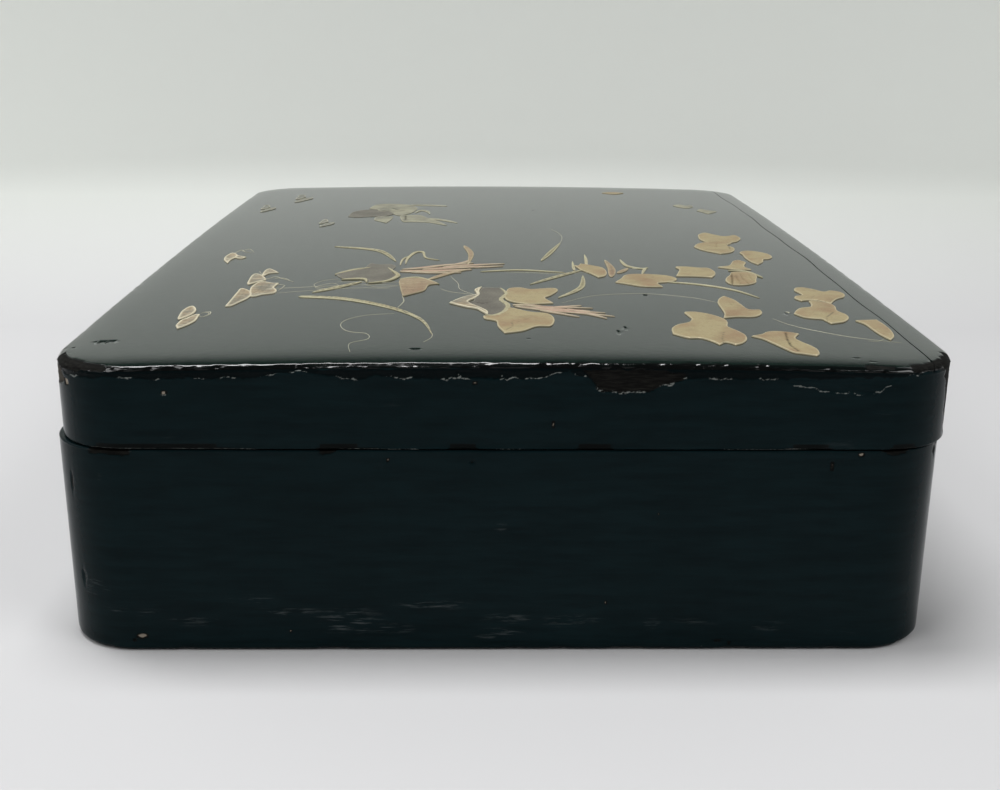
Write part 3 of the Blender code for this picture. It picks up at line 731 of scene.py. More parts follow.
# A drawn leaf or petal: the places that its outline passes through. A third number marks a sharp tip.
GOLD_LEAVES = [
    [(60, -132), (64, -131.6), (68, -134.5), (71, -139), (72, -144), (71, -150), (73, -155), (74.5, -160),
     (74, -165), (72, -169), (69.5, -171.2, 1), (67, -168.6), (64.5, -171.6, 1), (63, -168), (60, -164.3),
     (56, -164), (52, -159.5, 1), (52.7, -153), (55.3, -148.5), (59, -145.5), (60.8, -141), (60.3, -136)],
    [(77.5, -107.5, 1), (80, -113), (81.2, -120), (82.3, -126.5), (86.2, -126.8, 1), (86, -131),
     (84.2, -134.6), (81.5, -136.6), (76, -137), (71.6, -139, 1), (73, -133), (73.3, -126), (73.5, -118),
     (75, -112)],
    [(76.2, -161, 1), (80, -158.6), (82, -156), (85, -154.8), (89, -155.5), (92, -157.2, 1), (90.5, -160),
     (89.5, -163), (90.5, -167), (92.3, -171), (93.2, -175), (92.8, -179), (91.5, -181.2, 1),
     (88, -179.6), (85.2, -178.2), (83.2, -174), (81, -168.5), (79, -163.8)],
    [(106.5, -92), (109.5, -91), (112.5, -93.5), (115.5, -97), (118.5, -94.8), (121.3, -96.5),
     (122.2, -100), (121, -104), (118, -107.2), (116, -110), (113.2, -115.6, 1), (111.5, -112.5),
     (109, -110.8), (106, -111), (103.8, -112.4, 1), (102.3, -108.5), (103.3, -105.5), (106, -103.5),
     (106, -100), (105.2, -96)],
    [(106.5, -112), (110, -112.2), (112.8, -115.5), (113.5, -120), (112.6, -126), (114.2, -131),
     (113.6, -136), (111, -140.3), (108.5, -142), (105.8, -143.4, 1), (105, -140), (104.3, -137.6),
     (101.5, -137), (98.6, -135.3), (96.6, -131, 1), (98.5, -126.5), (101, -123), (104.6, -121),
     (106, -116)],
    [(115, -138.6, 1), (119, -137.6), (122.6, -136.6, 1), (123.2, -143), (123.2, -150), (122, -157),
     (119.4, -162, 1), (118, -156), (117.3, -149), (116.9, -143)],
    [(41.5, -87.4, 1), (44, -82), (46, -76), (49, -73.4), (54, -72.8), (58, -73.5), (62, -75),
     (64.8, -79), (64.3, -83), (60.5, -86), (57, -88.2), (58, -94.2, 1), (54, -94.4), (50, -93.6),
     (46, -90.6)],
    [(68, -58.2), (72.5, -57.8), (77, -59.3), (80.3, -59.6), (81.7, -66), (81, -71.5),
     (79, -76.4, 1), (73.5, -75.3), (65.5, -75.4, 1), (67.5, -68), (68.6, -63)],
    [(88, -67), (92, -65.6), (96, -68), (96.5, -73), (95, -79), (94, -83.5), (91, -87.2), (87, -89),
     (84, -88), (82.9, -83), (84, -77.5), (86.4, -72)],
    [(95.5, -42, 1), (97.6, -46.5), (96, -52), (95.4, -56.5), (97, -60.4, 1), (91, -60.6), (84.6, -57, 1),
     (89.4, -54), (91.5, -48.5), (93, -44.5)],
    [(99.5, -25), (103, -21.4), (107, -22.4), (110.5, -27), (111.2, -33), (109.2, -37.2), (106.4, -39),
     (105, -44.5), (101.8, -50, 1), (100, -44), (99.4, -36), (99.7, -30)],
    [(89.5, 17), (93, 21.5), (96.5, 17), (99, 13.6), (102, 14.2), (105.6, 17), (106.6, 9), (104, 2),
     (101, -1.5), (99, -6, 1), (94, -6), (90, -3), (88, 4), (88.4, 12)],
    [(91.5, -2.5), (88, -4), (84.5, -8), (82.3, -14, 1), (84, -20), (87, -24.5), (91, -28.6, 1),
     (95, -26), (98, -21), (99, -15), (97.3, -10), (98.4, -5), (95, -1.4)],
    [(0.7, -114.8), (1.0, -106), (2.4, -99.4), (6.3, -98), (9.8, -100.4), (14, -99.4), (18.2, -98.5),
     (19.6, -102), (17, -109), (14.5, -113.8), (17, -121, 1), (9, -122.4), (3.4, -119.6)],
    [(-6.9, -139.2, 1), (-2.5, -138.6), (0, -133), (2.1, -128), (8.6, -133.5), (14, -135.6), (16, -141),
     (15.8, -147), (14.3, -151.4), (10, -152), (5.6, -157.4), (-0.2, -160.2, 1), (-2.2, -152),
     (-2.8, -145.4), (-6.2, -142.6)],
    [(31, -54.6, 1), (33.4, -56), (36, -58.5), (39, -62), (40, -69), (39, -76), (36, -79.6, 1),
     (33.6, -72.5), (30.5, -66), (28.4, -57.5, 1), (30, -58.6)],
    [(59, 156, 1), (64, 159), (71, 157, 1), (66, 153)],
]
BACK_LEAVES = [
    [(-63.9, 90.9, 1), (-62, 102.1), (-57.2, 106.5), (-50.1, 106.1), (-43.5, 101.1), (-39.7, 89.7),
     (-42, 74.7), (-47, 66.7), (-51.1, 73), (-56.3, 86), (-60.9, 88.5)],
    [(-58.3, 53.4), (-58, 61.2), (-54.6, 63), (-50, 62.8, 1), (-50.3, 53), (-51.9, 43.7, 1),
     (-55.9, 49.5)],
    [(-46.6, 64.6), (-43.4, 66.5), (-37.3, 66.4), (-32.7, 56.3), (-28.2, 48.6),
     (-23.5, 35.7, 1), (-26.8, 39.3), (-32.2, 44.9), (-39.9, 47), (-44, 47.1), (-45.9, 54.8)],
    [(-59.6, 84), (-57, 90), (-50, 88, 1), (-52, 80), (-56, 76, 1)],
    [(91.5, 109, 1), (95, 113), (98, 109), (101, 112.5, 1), (101.4, 106), (97.4, 101), (93.6, 104)],
    [(101, 92, 1), (104, 98), (107.4, 93), (111, 91, 1), (108, 86), (105, 82.6), (103.4, 87)],
]
GREY_PETALS = [
    [(-9.8, -114.1), (-8.4, -104.7), (-7.2, -97.6, 1), (-0.8, -98.0, 1), (0.4, -105.9), (-0.9, -116),
     (0.6, -125.6), (-1.2, -135.4), (-5.2, -137.4), (-7.4, -128.6), (-11.8, -121.6), (-10.2, -118.4)],
    [(-62.2, -73.8, 1), (-56.4, -67.4), (-53, -64.4), (-50.8, -53.6, 1), (-47, -56.4), (-43.3, -56.0),
     (-40.5, -60), (-41.6, -69), (-39.4, -77.7), (-41.6, -85.6), (-48, -88.6), (-49.9, -83.1),
     (-58.6, -81.0)],
    [(-71.8, 64.1, 1), (-71.2, 76.3), (-69, 82.5), (-63.8, 86.5), (-55.5, 83.8), (-49.8, 72.9, 1),
     (-54.1, 65), (-61.8, 63.4), (-67.6, 61.8)],
]
FAN_PETALS = [
    [(-37.2, -84.6), (-36.6, -97), (-34.8, -111, 1), (-31.6, -107.4), (-27.6, -102), (-26.4, -93.6),
     (-23.2, -91.1, 1), (-27, -84.7), (-31, -82.4)],
]
PALE_PETALS = [
    [(-18.4, -121, 1), (-13.7, -112.6), (-9.3, -108.4), (-9.9, -101.5), (-7.3, -96.4, 1), (-8.2, -103),
     (-8.1, -109), (-9.6, -114), (-11.9, -120.3), (-7.9, -127.6), (-5.4, -133), (-5.4, -137.6, 1),
     (-7.4, -133), (-9.2, -129.3), (-13.3, -126.4)],
]
# A stroke has the places that it passes through, its width, and how far along it is widest.
GRASS_BLADES = [
    ([(-71, -110), (-55, -114), (-38, -127), (-27, -143), (-22.5, -162)], 2.7, 0.22),
    ([(-69, -17), (-50, -27), (-41, -50)], 2.2, 0.50),
    ([(-67, -104), (-59, -96), (-51, -87)], 2.4, 0.50),
    ([(10, -92), (21, -78), (31, -66)], 2.0, 0.50),
    ([(19, -113), (28, -97), (30.5, -76)], 2.1, 0.50),
    ([(16, -49), (21, -30), (26, -9)], 2.0, 0.45),
    ([(33, -60), (34, -46), (34.2, -35)], 1.3, 0.40),
    ([(28, -67), (28, -60), (28.4, -49)], 1.2, 0.40),
    ([(47.6, -45), (49, -57), (54, -62), (57, -60)], 1.5, 0.40),
    ([(56, -61), (54.5, -66), (53, -73)], 1.3, 0.40),
    ([(-8, -70), (7, -67), (24, -71)], 1.2, 0.50),
    ([(59, -85), (72, -89), (83, -97), (90, -109)], 1.3, 0.40),
    ([(-37, -56), (-36.8, -44), (-34.6, -32), (-31.4, -31), (-29.6, -43), (-24, -48)], 1.3, 0.40),
    ([(-39, -58), (-38.6, -46), (-36, -38)], 0.8, 0.40),
]
BACK_STROKES = [
    ([(-34, 57), (-26.6, 52.4), (-18.7, 42.9)], 3.0, 0.35),
    ([(-40.2, 74.7), (-37.5, 83.1), (-34.2, 78.7), (-32.6, 70.3)], 2.2, 0.45),
    ([(-44, 103), (-33.3, 101.5), (-24.9, 98.4)], 3.4, 0.35),
]
TAN_BLADES = [
    ([(41, -78), (42.4, -63), (41.4, -46)], 3.0, 0.40),
    ([(-27.4, -85), (-19.5, -73), (-11.5, -65)], 2.4, 0.40),
    ([(-14.8, -17), (-11.8, -35), (-12.8, -58)], 2.4, 0.40),
    ([(44, -71), (47, -66), (49, -62)], 2.2, 0.40),
]
FLOWER_RIMS = [
    ([(-0.8, -98.5), (1.2, -107), (-0.7, -116.5), (1.5, -124.4), (0, -133.6), (-3.5, -138.4),
     (-6.3, -137.4)], 1.7, 0.45),
    ([(-62.4, -74.6), (-56, -66.4), (-50, -62.6)], 1.5, 0.45),
    ([(-43.4, -63), (-39.2, -74), (-38.8, -79), (-42, -86.4), (-48.6, -89.8)], 1.7, 0.45),
    ([(-59, -83.4), (-51, -82.6), (-49.2, -88.6)], 1.4, 0.45),
    ([(-37.6, -83.8), (-30.8, -81.2), (-22.6, -92)], 1.2, 0.45),
    ([(87.5, -63), (94, -64.5), (98.4, -75)], 1.5, 0.45),
]
FLOWER_TUBES = [
    ([(3.0, -123.7), (8.9, -124.3), (14.4, -127.0), (21.7, -127.0), (30.0, -127.7)], 2.4, 0.35),
    ([(3.6, -125.8), (11, -128.9), (16.9, -131.7), (25.1, -134.2), (36.2, -138.6)], 2.6, 0.40),
    ([(14.0, -132.0), (22.9, -133.6), (30.4, -137.2)], 1.7, 0.40),
    ([(11.0, -127.0), (20.0, -130.2), (28.6, -131.4)], 1.9, 0.40),
    ([(21.0, -129.0), (27.0, -132.8), (33.6, -134.0)], 1.5, 0.40),
    ([(12.0, -131.4), (18.0, -135.0), (24.6, -139.6)], 1.3, 0.40),
    ([(17.0, -126.4), (22.0, -125.4), (26.4, -124.0)], 1.2, 0.40),
    ([(26.0, -134.6), (30.0, -137.8), (33.4, -141.4)], 1.1, 0.40),
    ([(-38, -66.0), (-29.6, -62.8), (-22.4, -58.5), (-10.5, -53.6)], 2.4, 0.45),
    ([(-38.4, -69.4), (-23.5, -69.0), (-11.0, -66.2)], 3.6, 0.35),
    ([(-22.6, -62.6), (-14.9, -59.0), (1.6, -55.0)], 2.4, 0.45),
    ([(-30.0, -66.0), (-20.0, -63.6), (-6.0, -60.4)], 2.6, 0.45),
    ([(-16.0, -62.4), (-8.0, -61.6), (1.0, -59.6)], 1.6, 0.45),
    ([(-20.0, -58.4), (-14.4, -53.0), (-11.8, -46.0)], 1.4, 0.45),
    ([(-34.0, -71.4), (-24.0, -72.4), (-15.0, -71.6)], 1.6, 0.45),
]
# Wings of the near butterflies, drawn like the leaves
WINGS = [
    [(-93.8, -123.2, 1), (-93.7, -115.2), (-93.7, -103.9), (-93.4, -97), (-91.2, -98.1), (-88.1, -104.2),
     (-88, -110.9), (-89.9, -117.2), (-91.8, -122.5)],
    [(-89.9, -98.2), (-89.8, -91.2), (-88.4, -86), (-86.1, -86.2), (-83.2, -88.5), (-81.1, -88.6, 1),
     (-81.8, -95.8, 1), (-79.9, -100.9), (-80.6, -104.7), (-84, -106.4), (-86.2, -109.1),
     (-88.1, -108.1)],
    [(-92.8, -87.8, 1), (-93.4, -76), (-92.3, -71.6), (-89.3, -75.2), (-86.8, -81.9),
     (-87.8, -84), (-90, -87), (-91.8, -90)],
    [(-89.7, -74), (-89.9, -66.1), (-88.6, -62.7), (-86.1, -66.3), (-84.1, -69.9, 1), (-87.2, -70.8),
     (-88.8, -75.2)],
    [(-106.2, -138.4, 1), (-106.9, -130), (-106.2, -124.1), (-104.7, -122.4), (-102.6, -127),
     (-102.3, -132.1), (-103.7, -137), (-105.4, -140.1)],
    [(-104.6, -148, 1), (-104.4, -142), (-103.1, -138.4), (-101.5, -134.4), (-99.9, -133.9, 1),
     (-99.5, -140.5), (-99.8, -143.7), (-101.3, -148.3), (-103.2, -152, 1)],
    [(-110, -43.7, 1), (-110.8, -37.2), (-109.8, -29.3), (-107.5, -30.9), (-105.9, -36.3),
     (-107.2, -42.7), (-107.2, -50.2, 1)],
    [(-106.7, -34.3), (-103.6, -37), (-102.1, -38, 1), (-103.6, -41), (-106.2, -39)],
]
# Wings of the far butterflies: a centre, the body's size, and lobes of a heading, a reach and a spread.
FAR_WINGS = [
    ((-104.4, 139), 2.2, [(98, 9.5, 24), (260, 9.5, 20)]),
    ((-101.6, 128), 2.2, [(66, 8.5, 24), (250, 10.5, 18)]),
    ((-117.0, 101), 1.9, [(98, 8.0, 24), (260, 8.0, 20)]),
    ((-114.6, 92), 1.8, [(66, 6.5, 24), (250, 8.0, 18)]),
    ((-81.2, 49), 1.8, [(92, 6.5, 24), (255, 6.5, 20)]),
    ((-78.8, 41), 1.8, [(62, 5.5, 24), (245, 7.0, 18)]),
]
# Splits and veins cut into the plates: a line, its half width, its depth and how dark it is.
FAINT_VEIN = (0.16, 0.08, 0.30)
WING_VEIN = (0.16, 0.10, 0.5)
FAN_VEIN = (0.16, 0.10, 0.35)
SPLITS = [
    ([(87.8, -157), (86.6, -164), (86, -171), (87, -177.4)], 0.24, 0.40, 1.0),
    ([(84.3, -88), (85.8, -80), (87.5, -69)], 0.24, 0.40, 1.0),
    ([(90.5, -87), (90, -78), (91, -69)], 0.16, 0.25, 0.6),
    ([(87.4, -88), (88, -78), (88.9, -71)], 0.16, 0.25, 0.6),
    ([(93.2, -84), (93.4, -76), (94, -70)], 0.16, 0.20, 0.5),
    ([(104.6, -143), (106.5, -135), (110.5, -128.5)], 0.18, 0.15, 0.55),
    ([(66, -171), (66.4, -165), (68.4, -157)], 0.18, 0.12, 0.55),
    ([(55, -150), (62, -151), (70, -149)], *FAINT_VEIN),
    ([(60.5, -140), (64, -141), (69, -142)], *FAINT_VEIN),
    ([(80, -132), (77.6, -122), (77.4, -112)], *FAINT_VEIN),
    ([(50, -88), (54, -82), (58, -77)], *FAINT_VEIN),
    ([(4, -117), (9, -110), (14, -104)], 0.16, 0.08, 0.25),
    ([(2, -150), (7, -144), (10, -139)], *FAINT_VEIN),
    ([(0.4, -157), (2.6, -152), (2.2, -148)], 0.30, 0.12, 0.45),
    ([(108, -108), (112, -102), (116, -99)], *FAINT_VEIN),
    ([(94.3, -3), (92.5, -9), (91.6, -16)], 0.20, 0.15, 0.5),
    ([(97.6, -8), (97.4, -13), (96.6, -19)], 0.25, 0.25, 0.7),
    ([(-12.6, -121.6), (-9.6, -120.4), (-7.0, -122.4), (-4.6, -121)], 0.24, 0.20, 0.9),
    ([(-35.2, -108), (-34.2, -98), (-35.4, -88)], *FAN_VEIN),
    ([(-31.8, -106), (-31.2, -97), (-32.6, -86)], *FAN_VEIN),
    ([(-28.6, -100), (-28.8, -93), (-29.6, -86)], *FAN_VEIN),
    ([(41.6, -76), (42.6, -63), (42.0, -50)], 0.18, 0.12, 0.5),
    ([(106.4, -111.6), (109.0, -111.2), (111.6, -113.0)], 0.45, 0.40, 1.0),
    ([(-52, 90), (-49, 84), (-46, 82)], 0.5, 0.20, 0.6),
    ([(-44.0, 64), (-43.4, 52)], 0.35, 0.30, 0.9),
    ([(-91.6, -119), (-91.0, -108), (-91.6, -99)], *WING_VEIN),
    ([(-90.4, -112), (-89.4, -106), (-90.2, -101)], *WING_VEIN),
    ([(-87.4, -104), (-86.4, -97), (-87, -89)], *WING_VEIN),
    ([(-85, -103), (-84.4, -97), (-84, -91)], *WING_VEIN),
    ([(-105, -135), (-104.6, -130), (-105, -125)], *WING_VEIN),
]
# Hair lines of gold: the places that a line passes through and its thickness.
HAIR_LINES = [
    ([(-36, -135), (-45, -137), (-51, -143), (-52, -150), (-49, -157), (-43, -160), (-42, -166),
      (-47, -171), (-46, -180)], 0.27),
    ([(-22.5, -160), (-22.8, -165), (-25, -170)], 0.27),
    ([(-35, -110), (-34, -118), (-35.5, -127)], 0.44),
    ([(-60, -82), (-65, -84), (-68, -90), (-66, -96), (-61, -98), (-59, -93), (-62, -89), (-67, -95),
      (-64, -100)], 0.27),
    ([(-84, -97), (-72, -95), (-58, -93), (-46, -92), (-36, -94)], 0.25),
    ([(-80, -104), (-66, -100), (-52, -97), (-40, -98)], 0.21),
    ([(-50, -92), (-44, -96), (-38, -95)], 0.23),
    ([(88, -138), (93, -147), (102, -155), (110, -160), (122, -164)], 0.27),
    ([(20, -120), (30, -110), (40, -106), (52, -105), (66, -110), (75, -118)], 0.21),
    ([(-19, -78), (-16, -90), (-15, -100), (-10, -108)], 0.31),
    ([(-22, -99), (-18, -104), (-10, -108)], 0.25),
    ([(26, -9), (27.5, 4), (27, 14), (24, 26)], 0.27),
    ([(-84, -80), (-81, -79), (-78, -83)], 0.32),
    ([(-81.5, -90), (-78.6, -92), (-79.6, -100)], 0.32),
    ([(-98.8, -131), (-97.4, -130), (-96.8, -133), (-98.2, -136)], 0.40),
    ([(-106.4, -24), (-104, -20), (-100.6, -28)], 0.32),
    ([(118, -160), (115, -163), (112, -163)], 0.21),
    ([(94.6, -128), (95.4, -129), (95, -130)], 0.48),
    ([(50.5, -62), (54, -61.6), (57, -60.2)], 0.48),
    ([(-92, -66), (-87.2, -79.7), (-84.4, -76.6), (-81.1, -80.1), (-76, -86)], 0.36),
    ([(-109.4, -33), (-107.2, -22), (-104.9, -25.7), (-101.7, -27.9)], 0.36),
    ([(-100, -132), (-98.6, -130), (-97.2, -133), (-98.4, -136.6), (-100, -135.4)], 0.29),
    ([(-60, -86), (-48, -88), (-36, -88)], 0.22),
    ([(2, -70), (20, -72), (36, -70)], 0.22),
]


def curve(first, last, start, end, t):
    """A place on a smooth curve between two points, given its runs at both ends, and its run there."""
    bend = 3 * (last - first) - 2 * start - end
    twist = 2 * (first - last) + start + end
    return first + t * (start + t * (bend + t * twist)), start + t * (2 * bend + 3 * t * twist)


def drawn(places):
    """A smooth closed outline through the places, pointed at those that are marked."""
    count, points = len(places), []
    steps = max(6, LEAF_STEPS // count)
    for k in range(count):
        before, here, there, after = (places[(k + n) % count] for n in (-1, 0, 1, 2))
        p0, p1, p2, p3 = (Vector(p[:2]) for p in (before, here, there, after))
        start = (p2 - p1) * 0.8 if len(here) > 2 else (p2 - p0) / 2
        end = (p2 - p1) * 0.8 if len(there) > 2 else (p3 - p1) / 2
        points += [tuple(curve(p1, p2, start, end, n / steps)[0]) for n in range(steps)]
    return points


def lobed(centre, body, lobes):
    """A wing: a round body with lobes, each with a heading, a reach and a spread in degrees."""
    points = []
    for k in range(LEAF_STEPS):
        heading = 360 * k / LEAF_STEPS
        reach = body
        for towards, length, spread in lobes:
            off = (heading - towards + 180) % 360 - 180
            reach = max(reach, body + (length - body) * math.exp(-(abs(off / spread) ** 1.5)))
        angle = math.radians(heading)
        points.append((centre[0] + reach * math.cos(angle), centre[1] + reach * math.sin(angle)))
    return points


def route(points, share):
    """A place on a smooth line through the points, and the line's run there."""
    spans = len(points) - 1
    first = min(int(share * spans), spans - 1)
    p0, p1, p2, p3 = (Vector(points[min(max(first + k, 0), spans)]) for k in (-1, 0, 1, 2))
    return curve(p1, p2, (p2 - p0) / 2, (p3 - p1) / 2, share * spans - first)


def sideways(run):
    return Vector((run.y, -run.x)).normalized()


def stroke(points, width, widest):
    """A brush stroke with pointed ends: a blade of grass, a flower's rim or a strand of its tube."""
    right, left = [], []
    lean = math.log(0.5) / math.log(widest)
    for k in range(1, STROKE_STEPS):
        share = k / STROKE_STEPS
        place, run = route(points, share)
        across = sideways(run) * (width / 2 * math.sin(math.pi * share ** lean) ** 0.8)
        right.append(tuple(place + across))
        left.append(tuple(place - across))
    return [tuple(points[0])] + right + [tuple(points[-1])] + left[::-1]


def middle_line(points):
    return [tuple(route(points, k / GROOVE_STEPS)[0]) for k in range(1, GROOVE_STEPS)]


def split_depth(x, y):
    """Depth and darkness of the splits and veins."""
    found = []
    for line, half, depth, darkness in SPLITS:
        within = smooth(1.5 - line_distance(x, y, line) / half)
        found.append((depth * within, darkness * within))
    return np.max(found, axis=0)


def rolled_ring(outline, inset):
    """The outline moved inwards a little, without the places where it would fold."""
    points = np.array(outline)
    run = np.roll(points, -1, axis=0) - np.roll(points, 1, axis=0)
    run /= np.maximum(np.linalg.norm(run, axis=1), 1e-9)[:, None]
    x, y = (points + np.stack([-run[:, 1], run[:, 0]], -1) * inset).T
    kept = depth_inside(x, y, outline) > 0.8 * inset
    return pairs(x[kept], y[kept])


def staggered_grid(outline):
    """Places in staggered rows that lie well inside an outline."""
    low, high = np.min(outline, axis=0), np.max(outline, axis=0)
    back = np.arange(low[1], high[1], PLATE_STEP * ROW_SHARE)
    x, y = np.meshgrid(np.arange(low[0], high[0], PLATE_STEP), back)
    x = (x + (np.arange(len(back)) % 2)[:, None] * PLATE_STEP / 2).ravel()
    y = y.ravel()
    kept = depth_inside(x, y, outline) > PLATE_GAP * PLATE_STEP
    return pairs(x[kept], y[kept])


def plate_height(x, y, outline, relief, hollow):
    """Height of a plate over the lacquer, rolled at its edge. Some are hollowed inside a rim."""
    away = outline_distance(x, y, outline)
    rolled = 0.45 + 0.55 * np.sqrt(1 - (1 - np.clip(away / PLATE_ROLL, 0, 1)) ** 2)
    level = relief * (rolled - hollow * smooth((away - 0.55) / 0.5))
    level += PLATE_SWAY * noise(x, y, 4.5, 71) * smooth(away / 1.5)
    return np.minimum(level, relief), np.exp(-away / 0.6)


def add_plate(shell, outline, relief, hollow, groove):
    """Adds one raised figure: a closed plate with a rolled edge, bent to the lid and rooted in it."""
    area = sum(x0 * y1 - x1 * y0 for (x0, y0), (x1, y1) in zip(outline, turned(outline)))
    if area < 0:
        outline = outline[::-1]
    free = staggered_grid(outline) + rolled_ring(outline, 0.30 * PLATE_ROLL)
    places, numbers, triangles = triangulate(outline, free)
    x, y = np.array(places).T
    level, rim = plate_height(x, y, outline, relief, hollow)
    split, dark = split_depth(x, y)
    if groove:
        cut = smooth(1.4 - line_distance(x, y, groove) / 0.24)
        split, dark = np.maximum(split, 0.16 * cut), np.maximum(dark, 0.75 * cut)
    surface = LID_HEIGHT + lid_surface(x, y)
    blush = smooth((x - BLUSH_START) / BLUSH_RUN) if x.min() > 0 else np.full_like(x, BLUSH_EVEN)
    top = np.stack([x, y, surface + level - split], -1)
    bottom = np.stack([x, y, surface - PLATE_ROOT], -1)
    first = shell.add_points(top, rim=rim, split=dark, blush=blush)
    under = shell.add_points(bottom, rim=rim, split=np.full_like(x, 2.0), blush=blush)
    shell.add_faces([[first + k for k in t] for t in triangles])
    shell.add_faces([[under + k for k in t][::-1] for t in triangles])
    order = {n: k for k, n in enumerate(numbers) if n >= 0}
    ring = [order[n] for n in range(len(outline)) if n in order]
    shell.add_faces([[under + a, under + b, first + b, first + a] for a, b in zip(ring, turned(ring))])


def add_hair(shell, points, thickness):
    """Adds a thin line that lies half sunk in the lacquer."""
    steps = HAIR_STEPS * (len(points) - 1)
    rings = []
    for k in range(steps + 1):
        share = k / steps
        place, run = route(points, share)
        half = thickness / 2 * (0.35 + 0.65 * math.sin(math.pi * min(max(share, 0.04), 0.96)) ** 0.4)
        level = LID_HEIGHT + float(lid_surface(place.x, place.y))
        ring = []
        for side in range(HAIR_SIDES):
            angle = 2 * math.pi * side / HAIR_SIDES
            spot = place + sideways(run) * (half * math.cos(angle))
            ring.append((spot.x, spot.y, level + 0.7 * half * math.sin(angle) + 0.02))
        ends = [0.0] * HAIR_SIDES
        rings.append(shell.add_points(ring, rim=[1.0] * HAIR_SIDES, split=ends, blush=ends))
    for lower, upper in zip(rings[:-1], rings[1:]):
        for side in range(HAIR_SIDES):
            following = (side + 1) % HAIR_SIDES
            shell.add_faces([[lower + side, upper + side, upper + following, lower + following]])
    shell.add_faces([[rings[0] + k for k in range(HAIR_SIDES)]])
    shell.add_faces([[rings[-1] + k for k in range(HAIR_SIDES)][::-1]])


def make_ornament(finishes):
    """Lays the raised figures on the lid, each kind as one piece."""
    back = [drawn(leaf) for leaf in BACK_LEAVES] + [stroke(*line) for line in BACK_STROKES]
    kinds = [
        ("gold_leaves", "gold", [drawn(leaf) for leaf in GOLD_LEAVES], LEAF_RELIEF),
        ("grey_petals", "grey", [drawn(petal) for petal in GREY_PETALS], GREY_RELIEF),
        ("fan_petals", "tan", [drawn(petal) for petal in FAN_PETALS], LEAF_RELIEF),
        ("pale_petals", "wing", [drawn(petal) for petal in PALE_PETALS], RIM_RELIEF),
        ("grass_blades", "pale", [stroke(*line) for line in GRASS_BLADES], GRASS_RELIEF),
        ("tan_blades", "tan", [stroke(*line) for line in TAN_BLADES], GRASS_RELIEF),
        ("flower_rims", "pale", [stroke(*line) for line in FLOWER_RIMS], RIM_RELIEF),
        ("flower_tubes", "pink", [stroke(*line) for line in FLOWER_TUBES], TUBE_RELIEF),
        ("back_leaves", "back", back, GREY_RELIEF),
        ("butterflies", "wing", [drawn(wing) for wing in WINGS], WING_RELIEF),
        ("far_butterflies", "faint", [lobed(*wing) for wing in FAR_WINGS], WING_RELIEF),
    ]
    shells = []
    for name, finish, outlines, relief in kinds:
        shell = Shell()
        hollow = WING_HOLLOW if "butterflies" in name else 0.0
        for number, outline in enumerate(outlines):
            double = name == "grass_blades" and number < DOUBLE_BLADES
            groove = middle_line(GRASS_BLADES[number][0]) if double else None
            add_plate(shell, outline, relief, hollow, groove)
        shells.append((shell, name, finish))
    shell = Shell()
    for points, thickness in HAIR_LINES:
        add_hair(shell, points, thickness)
    shells.append((shell, "hair_lines", "hair"))
    made = []
    for shell, name, finish in shells:
        made.append((shell.make(name, [finishes[finish]], LID_PLACE, PLATE_SHARP), finish))
    return made


# Colours that the finishes share, and how patterns are stretched along the wood and along brushed faces
GROUND = (0.0045, 0.0045, 0.0040)
GROUND_PALE = (0.020, 0.0195, 0.0165)
BARE_WOOD = (0.36, 0.31, 0.25)
# The colour of the painted glints on broken edges
EDGE_GLINT_PAINT = (0.200, 0.215, 0.205)
SCUFFED = (0.062, 0.072, 0.074)
RUBBED = (0.001, 0.001, 0.001)
SPLIT_DARK = (0.012, 0.009, 0.006)
INLAY_ROUGHNESS = 0.5
SKIN_DEPTH = 0.0002
ALONG_WOOD = (0.12, 1.0, 1.0)
BRUSHED = (0.12, 0.12, 1.0)
STREAKED = (0.10, 0.10, 1.0)
GLINT_BREAKS_STRETCH = (0.6, 0.6, 1.0)


def shaded(colour, share):
    return tuple(share * c for c in colour)


